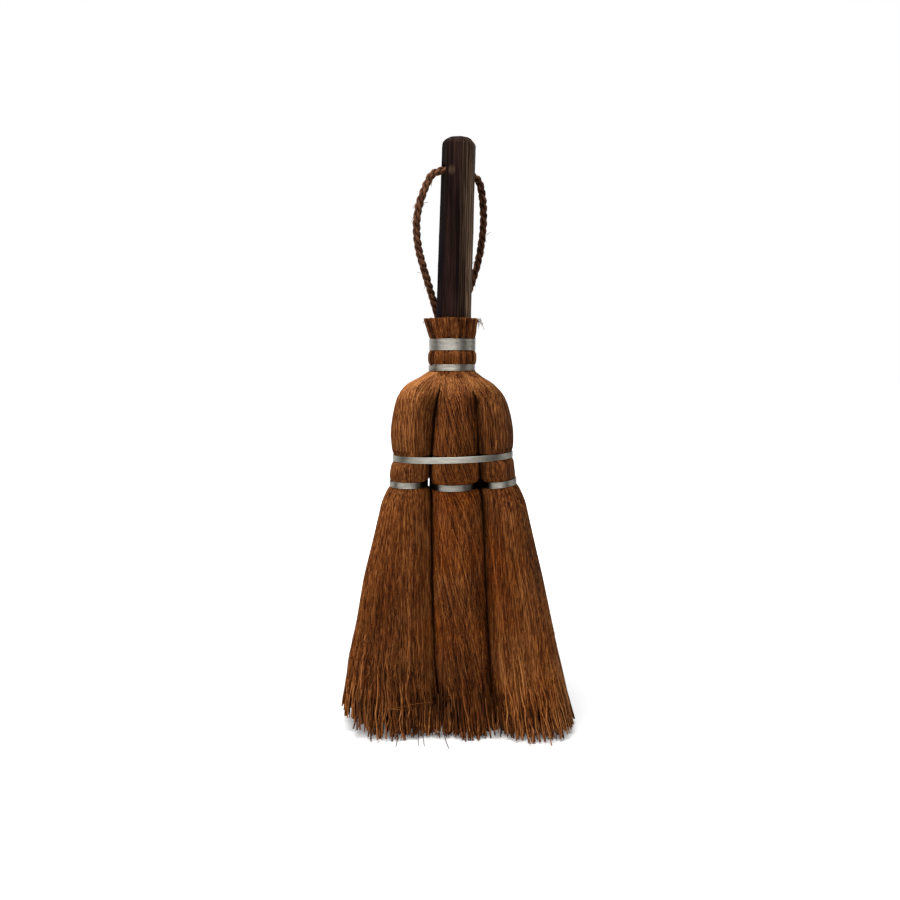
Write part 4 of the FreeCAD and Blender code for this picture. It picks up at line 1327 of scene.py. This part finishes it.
class BROOM_OT_bundles(bpy.types.Operator):
    """Cover the three bundles with fibre: bodies, lobes, skirts and fringes"""

    bl_idname = "broom.bundles"
    bl_label = "Fibre bundles"

    def execute(self, context):
        settings = context.scene.broom_fibre
        # Near-black fibre as painted shade in the gaps between the bundles.
        under = painted_shade_material(settings)
        forms = [bundle_surface(side) for side in SIDES]
        bundles = [surface for surface, _ in forms]
        materials = [fibre_material(side, settings) for side in SIDES]
        for number, side in enumerate(SIDES):
            surface, axis = forms[number]
            beside = bundles[max(0, number - 1):number] + bundles[number + 1:number + 2]
            # Painted shade where the bundle lies near its neighbours.
            deep = nearness(surface, beside)
            kept = np.flatnonzero(axis[:, 2] > BODY_FOOT)[::2]
            spine = axis[kept][:, None, :]
            share = BODY_SHARE - 0.26 * rising(spine[:, :, 2:], 85.0, 30.0)
            body = closed_skin(side + "_fibre_body", spine + share * (surface[kept, :-1] - spine),
                               materials[number], deep[kept, :-1])
            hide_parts(side + "_wrap", side + "_core")
            guide = guide_mesh(side + "_guide", surface, axis, deep)
            for kind, values in self.layers(settings, number).items():
                lay_strands(side + "_" + kind + "_fibres", guide, materials[number], values)
        self.covers(settings, bundles, materials)
        gaps = bundle_gaps()
        for name, (gap, half, low, high) in SHADE_FILLINGS.items():
            self.filling(name, gaps[gap], half * MM, low * MM, high * MM, under)
        fibre_piece(self.strays(materials[0]))
        return {"FINISHED"}

    def covers(self, settings, bundles, materials):
        """Fibres over the shoulders of all three bundles, and bristles that close the gaps at their feet."""
        cover = {
            "Count": settings.collar_count, "Points": 8, "From": 0.13, "To": 0.98, "To Spread": 0.65,
            "Inner": 0.985, "Outer": 1.01, "Flow": 0.01, "Wander": 0.03, "Radius": settings.fibre_radius,
            "Tip": 0.4, "Seed": 380}
        guide = guide_mesh("shoulder_guide", *common_surface(bundles, SHOULDER_ROWS))
        lay_strands("shoulder_fibres", guide, materials[0], cover)
        hem = {
            "Count": settings.hem_count, "Points": 8, "From": 0.42, "From Spread": 0.3, "To": 1.0,
            "To Spread": 0.12, "Inner": 0.70, "Outer": 0.90, "Wander": 0.006, "Splay": 3.0 * MM, "Clump": 0.3,
            "Radius": settings.bristle_radius, "Tip": 0.9, "Seed": 390}
        # Painted shade on the hem bristles, darkest at their top.
        hidden = np.linspace(1.1, 0.1, len(HEM_ROWS)).clip(0.0, 1.0)[:, None]
        guide = guide_mesh("hem_guide", *common_surface(bundles, HEM_ROWS), hidden)
        lay_strands("hem_bristles", guide, materials[1], hem)

    def strays(self, material):
        """Two fibres that lie across the left fringe, and the long bristles that stand out in front."""
        tubes = TubeMaker()
        for route in CROSSING_FIBRES:
            line = even_line(spline_line("crossing_fibre", np.array(route) * MM), STRAY_STEP)
            tubes.hair(line, 0.13, 0.13, 0.8)
        for root, tip, reach in LONG_BRISTLES:
            route = np.array(((root, -22.0, 9.0), (root, -28.0, 2.0), (tip, -reach, 0.5))) * MM
            line = even_line(spline_line("long_bristle", route), STRAY_STEP)
            tubes.hair(line, 0.42, 0.22, 0.0)
        return tubes.piece("fringe_stray_fibres", material)

    def layers(self, settings, number):
        """What each layer of one bundle's fibre is laid with, from the collar down."""
        tie = 1.0 - binding_oval(SIDES[number] + "_tie_wire")[0].z / BUNDLE_TOP
        band = 1.0 - binding_oval("waist_band_wire")[0].z / BUNDLE_TOP
        fine = settings.fibre_radius
        coarse = settings.bristle_radius
        twist = SKIRT_TWIST[number]
        head_twist = HEAD_TWIST[number]
        kinds = {
            "lobe": {
                "Count": settings.head_count, "Points": 14, "From": 0.011, "To": band - WIRE_ROOM,
                "Inner": BODY_SHARE, "Outer": 1.0, "Twist": head_twist, "Twist Bend": 1.4, "Flow": 0.012,
                "Wander": 0.022, "Radius": fine, "Tip": 1.0, "Seed": 100},
            "waist": {
                "Count": settings.head_count, "Points": 6, "From": band + WIRE_ROOM,
                "To": tie - WIRE_ROOM, "Inner": BODY_SHARE, "Outer": 1.0, "Twist": 0.3 * head_twist,
                "Wander": 0.02, "Radius": fine, "Tip": 1.0, "Seed": 150},
            "skirt": {
                "Count": settings.skirt_count, "Points": 16, "From": tie + WIRE_ROOM, "To": 0.88,
                "To Spread": 0.20, "Inner": 0.965, "Outer": 1.0, "Twist": twist, "Twist Bend": 0.7,
                "Flow": 0.012, "Wander": 0.03, "Splay": 0.8 * MM, "Clump": 0.1, "Radius": fine, "Tip": 0.8,
                "Seed": 200},
            "tuck": {
                "Count": settings.skirt_count // 2, "Points": 8, "From": tie + 0.007, "To": tie + 0.08,
                "To Spread": 0.03, "Inner": 0.975, "Outer": 1.0, "Twist": 0.22 * twist, "Wander": 0.01,
                "Radius": fine, "Tip": 0.6, "Seed": 250},
            "fringe": {
                "Count": settings.fringe_count, "Points": 10, "From": 0.66, "From Spread": 0.12, "To": 1.0,
                "To Spread": 0.03, "Inner": 0.92, "Outer": 1.0, "Wander": 0.05, "Splay": 3.8 * MM,
                "Clump": 0.45, "Radius": coarse, "Tip": 0.9, "Seed": 300},
            "core": {
                "Count": settings.core_count, "Points": 6, "From": 0.70, "From Spread": 0.1, "To": 1.0,
                "To Spread": 0.06, "Inner": 0.1, "Outer": 0.92, "Depth Bend": 0.5, "Wander": 0.05,
                "Splay": 3.0 * MM, "Clump": 0.4, "Radius": coarse, "Tip": 0.8, "Seed": 320},
            "felt": {
                "Count": settings.felt_count, "Points": 5, "From": tie + 0.015, "From Spread": 0.50,
                "To": 0.88, "Length": 0.10, "Inner": 0.99, "Outer": 1.003, "Wander": 0.015, "Slant": 0.04,
                "Radius": 0.8 * fine, "Tip": 0.5, "Seed": 360},
            "lobe_felt": {
                "Count": settings.felt_count // 2, "Points": 6, "From": 0.02, "From Spread": band - 0.06,
                "To": band - 0.010, "Length": 0.08, "Inner": 0.99, "Outer": 1.003, "Wander": 0.01,
                "Slant": 0.035, "Radius": 0.75 * fine, "Tip": 0.5, "Seed": 370},
            "loose": {
                "Count": settings.loose_count, "Points": 22, "From": tie + 0.02, "From Spread": 0.40,
                "To": 0.99, "To Spread": 0.45, "Inner": 1.0, "Outer": 1.006, "Wander": 0.20,
                "Radius": 0.75 * fine, "Tip": 0.7, "Seed": 340},
        }
        for values in kinds.values():
            values["Seed"] += number
        return kinds

    def filling(self, name, x, half, low, high, material):
        """Painted shade: near-black fibre put between two bundles where their bindings draw them apart."""
        angles = np.linspace(0.0, FULL_TURN, 16, endpoint=False)
        rings = []
        for share, reach in ((0.0, 0.8), (0.25, 1.0), (0.75, 1.0), (1.0, 0.8)):
            height = np.full(len(angles), low + share * (high - low))
            rings.append(np.stack((x + half * reach * np.cos(angles),
                                   5.0 * MM + 8.0 * MM * reach * np.sin(angles), height), axis=1))
        return closed_skin(name, np.array(rings), material)


class BROOM_OT_collar(bpy.types.Operator):
    """Cover the collar with upright fibre and fill its rim with cut ends"""

    bl_idname = "broom.collar"
    bl_label = "Collar"

    def execute(self, context):
        settings = context.scene.broom_fibre
        material = fibre_material("collar", settings)
        surface, axis = collar_surface()
        guide = guide_mesh("collar_guide", surface, axis)
        core = axis[4:, None, :]
        # The collar's body is painted shade: near-black fibre under its strands.
        closed_skin("collar_fibre_body", core + 0.95 * (surface[4:, :-1] - core),
                    bpy.data.materials[SHADE_MATERIAL])
        outer = {
            "Count": settings.collar_count, "Points": 20, "From": 0.0, "From Spread": 0.015, "To": 1.0,
            "Inner": 0.955, "Outer": 1.0, "Flow": 0.01, "Wander": 0.012, "Radius": settings.fibre_radius,
            "Tip": 1.0, "Seed": 401}
        filling = {
            "Count": settings.rim_count, "Points": 4, "From": 0.0, "From Spread": 0.04, "To": 0.40,
            "To Spread": 0.1, "Inner": 0.66, "Outer": 0.97, "Flow": 0.01, "Wander": 0.03,
            "Radius": settings.fibre_radius, "Tip": 1.0, "Seed": 402}
        lay_strands("collar_fibres", guide, material, outer)
        lay_strands("collar_rim_fibres", guide, material, filling)
        fibre_piece(self.strays(surface[0], material))
        return {"FINISHED"}

    def strays(self, rim, material):
        """A tuft of thin fibres that curl out of the right side of the rim, and a few more round it."""
        rng = np.random.default_rng(RIM_SEED)
        tubes = TubeMaker()
        places = list(rng.normal(0.0, 0.03, TUFT_FIBRES)) + list(rng.uniform(0.0, 1.0, 10))
        steps = np.linspace(0.0, 1.0, 7)[:, None]
        for number, place in enumerate(places):
            root = rim[int(place * (len(rim) - 1)) % (len(rim) - 1)]
            out = root - rim[:-1].mean(axis=0)
            out = out / np.linalg.norm(out)
            length = rng.uniform(2.0, 4.2) * MM if number < TUFT_FIBRES else rng.uniform(1.0, 2.0) * MM
            lean = 0.8 * out + rng.normal(0.0, 0.3, 3)
            lean[2] = rng.uniform(-1.6, 0.1)
            path = root - (0.0, 0.0, 2.0 * MM) + lean * length * steps
            path[:, 2] += (2.4 * length * steps * (1.0 - steps))[:, 0]
            tubes.hair(path, 0.20, 0.13, rng.uniform(0.0, 0.6))
        return tubes.piece("collar_stray_fibres", material)


class BROOM_OT_wires(bpy.types.Operator):
    """Wind the six wire bindings"""

    bl_idname = "broom.wires"
    bl_label = "Wire bindings"

    def execute(self, context):
        settings = context.scene.broom_wire
        tree = winding_tree()
        material = steel_material(settings)
        turns = {"upper_collar_wire": settings.upper_turns, "lower_collar_wire": settings.lower_turns,
                 "waist_band_wire": settings.band_turns}
        for number, name in enumerate(WIRES):
            middle, half_width, half_depth = binding_oval(name)
            holder = bpy.data.meshes.new(name + "_holder")
            piece = grown(name + "_turns", holder, tree, {
                "Turns": turns.get(name, settings.tie_turns), "Half Width": half_width,
                "Half Depth": half_depth, "Wire Radius": settings.radius, "Slope": WIRES[name][-1],
                "Middle": tuple(middle), "Seed": number, "Material": material})
            ridden(piece, BROOM_BODY)
            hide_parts(name)
        return {"FINISHED"}


class BROOM_OT_stage(bpy.types.Operator):
    """Set up the camera, the lamps and the white floor"""

    bl_idname = "broom.stage"
    bl_label = "Stage"

    def execute(self, context):
        settings = context.scene.broom_stage
        scene = context.scene
        scene.view_settings.view_transform = "Standard"
        camera = bpy.data.objects.new("camera", bpy.data.cameras.new("camera"))
        camera.data.lens = settings.lens
        camera.data.sensor_width = 36.0
        camera.location = settings.camera_place
        camera.rotation_euler = (math.radians(90.0) - settings.camera_pitch, 0.0, 0.0)
        scene.collection.objects.link(camera)
        scene.camera = camera
        self.lamp("key", (-0.16, -0.32, 1.40), settings.key_power)
        self.lamp("fill", (-1.0, -0.5, 0.75), settings.fill_power)
        for name, (azimuth, width) in FLAGS.items():
            self.flag(name, math.radians(azimuth), width)
        self.floor()
        self.sky(scene, settings.sky)
        return {"FINISHED"}

    def lamp(self, name, place, power):
        """A square soft lamp that faces the broom."""
        light = bpy.data.lights.new(name, "AREA")
        light.size = LAMP_SIZE
        light.energy = power
        lamp = link_piece(name, light)
        lamp.location = place
        lamp.rotation_euler = (Vector(LAMP_AIM) - lamp.location).to_track_quat("-Z", "Y").to_euler()

    def flag(self, name, azimuth, width):
        """A dark upright card, out of view, that only shows as a dark band in the shiny wire."""
        across = Vector((-math.sin(azimuth), math.cos(azimuth), 0.0)) * width / 2
        middle = Vector((math.cos(azimuth), math.sin(azimuth), 0.0)) * 0.75
        upright = Vector((0.0, 0.0, 1.8))
        form = bmesh.new()
        rows = []
        for share, lift in ((0.25, 0.001), (1.0, 0.001), (1.0, 1.0)):
            places = [middle * share + across * share * side + upright * lift for side in (-1, 1)]
            rows.append([form.verts.new(place) for place in places])
        for low, high in zip(rows, rows[1:]):
            form.faces.new((low[0], low[1], high[1], high[0]))
        mesh = mesh_of(name, form)
        material, wire = new_material(name + "_card")
        finished(material, wire, {"Base Color": rgba((0.05, 0.05, 0.05)), "Roughness": 1.0})
        mesh.materials.append(material)
        card = link_piece(name, mesh)
        card.visible_camera = False
        card.visible_diffuse = False
        card.visible_shadow = False

    def seen(self, wire):
        """1 for what the camera sees, straight or in metal, and 0 for light that falls on the broom."""
        path = wire.tree.nodes.new("ShaderNodeLightPath").outputs
        seen = wire.math("MAXIMUM", path["Is Camera Ray"], path["Is Glossy Ray"])
        return wire.math("MAXIMUM", seen, path["Is Transmission Ray"])

    def floor(self):
        """A white floor that keeps the broom's soft shadow."""
        form = bmesh.new()
        corners = ((-1, -1), (1, -1), (1, 1), (-1, 1))
        form.faces.new([form.verts.new((FLOOR_REACH * x, FLOOR_REACH * y, 0.0)) for x, y in corners])
        mesh = mesh_of("floor", form)
        material, wire = new_material("white_floor")
        glow = wire.ranged(wire.size(object_place(wire)), 0.09, 0.5, 0.14, 1.0)
        mesh.materials.append(finished(material, wire, {
            "Base Color": rgba((0.72, 0.72, 0.72)), "Roughness": 1.0, "Specular IOR Level": 0.0,
            "Emission Color": WHITE, "Emission Strength": wire.product(self.seen(wire), glow)}))
        link_piece("floor", mesh)

    def sky(self, scene, strength):
        """White all round for the camera, and plain soft light on the broom."""
        world = bpy.data.worlds.new("studio")
        world.use_nodes = True
        scene.world = world
        wire = Wiring(world.node_tree)
        background = world.node_tree.nodes["Background"]
        wire.feed(background.inputs["Color"], WHITE)
        wire.feed(background.inputs["Strength"], wire.between(self.seen(wire), strength, 1.0))


class BROOM_PT_panel(bpy.types.Panel):
    """Lists the broom's sizes and the steps that make it"""

    bl_idname = "BROOM_PT_panel"
    bl_label = "Hand broom"
    bl_space_type = "VIEW_3D"
    bl_region_type = "UI"
    bl_category = "Broom"

    def draw(self, context):
        layout = self.layout
        for settings, operators in PANEL_ROWS:
            box = layout.box()
            group = getattr(context.scene, settings)
            for name in group.__annotations__:
                box.prop(group, name)
            for operator in operators:
                box.operator(operator)


PANEL_ROWS = (
    ("broom_stage", ("broom.stage",)),
    ("broom_cord", ("broom.cord",)),
    ("broom_wood", ("broom.handle",)),
    ("broom_fibre", ("broom.bundles", "broom.collar")),
    ("broom_wire", ("broom.wires",)),
)
GROUPS = {
    "broom_fibre": FibreSettings,
    "broom_wire": WireSettings,
    "broom_cord": CordSettings,
    "broom_wood": WoodSettings,
    "broom_stage": StageSettings,
}
TOOLS = (BROOM_OT_stage, BROOM_OT_cord, BROOM_OT_handle, BROOM_OT_bundles, BROOM_OT_collar, BROOM_OT_wires,
         BROOM_PT_panel)


def register():
    for name, group in GROUPS.items():
        bpy.utils.register_class(group)
        setattr(bpy.types.Scene, name, PointerProperty(type=group))
    for tool in TOOLS:
        bpy.utils.register_class(tool)


def unregister():
    for tool in reversed(TOOLS):
        bpy.utils.unregister_class(tool)
    for name, group in GROUPS.items():
        delattr(bpy.types.Scene, name)
        bpy.utils.unregister_class(group)


def main():
    register()
    bpy.ops.broom.stage()
    bpy.ops.broom.cord()
    bpy.ops.broom.handle()
    bpy.ops.broom.bundles()
    bpy.ops.broom.collar()
    bpy.ops.broom.wires()


if __name__ == "__main__":
    main()
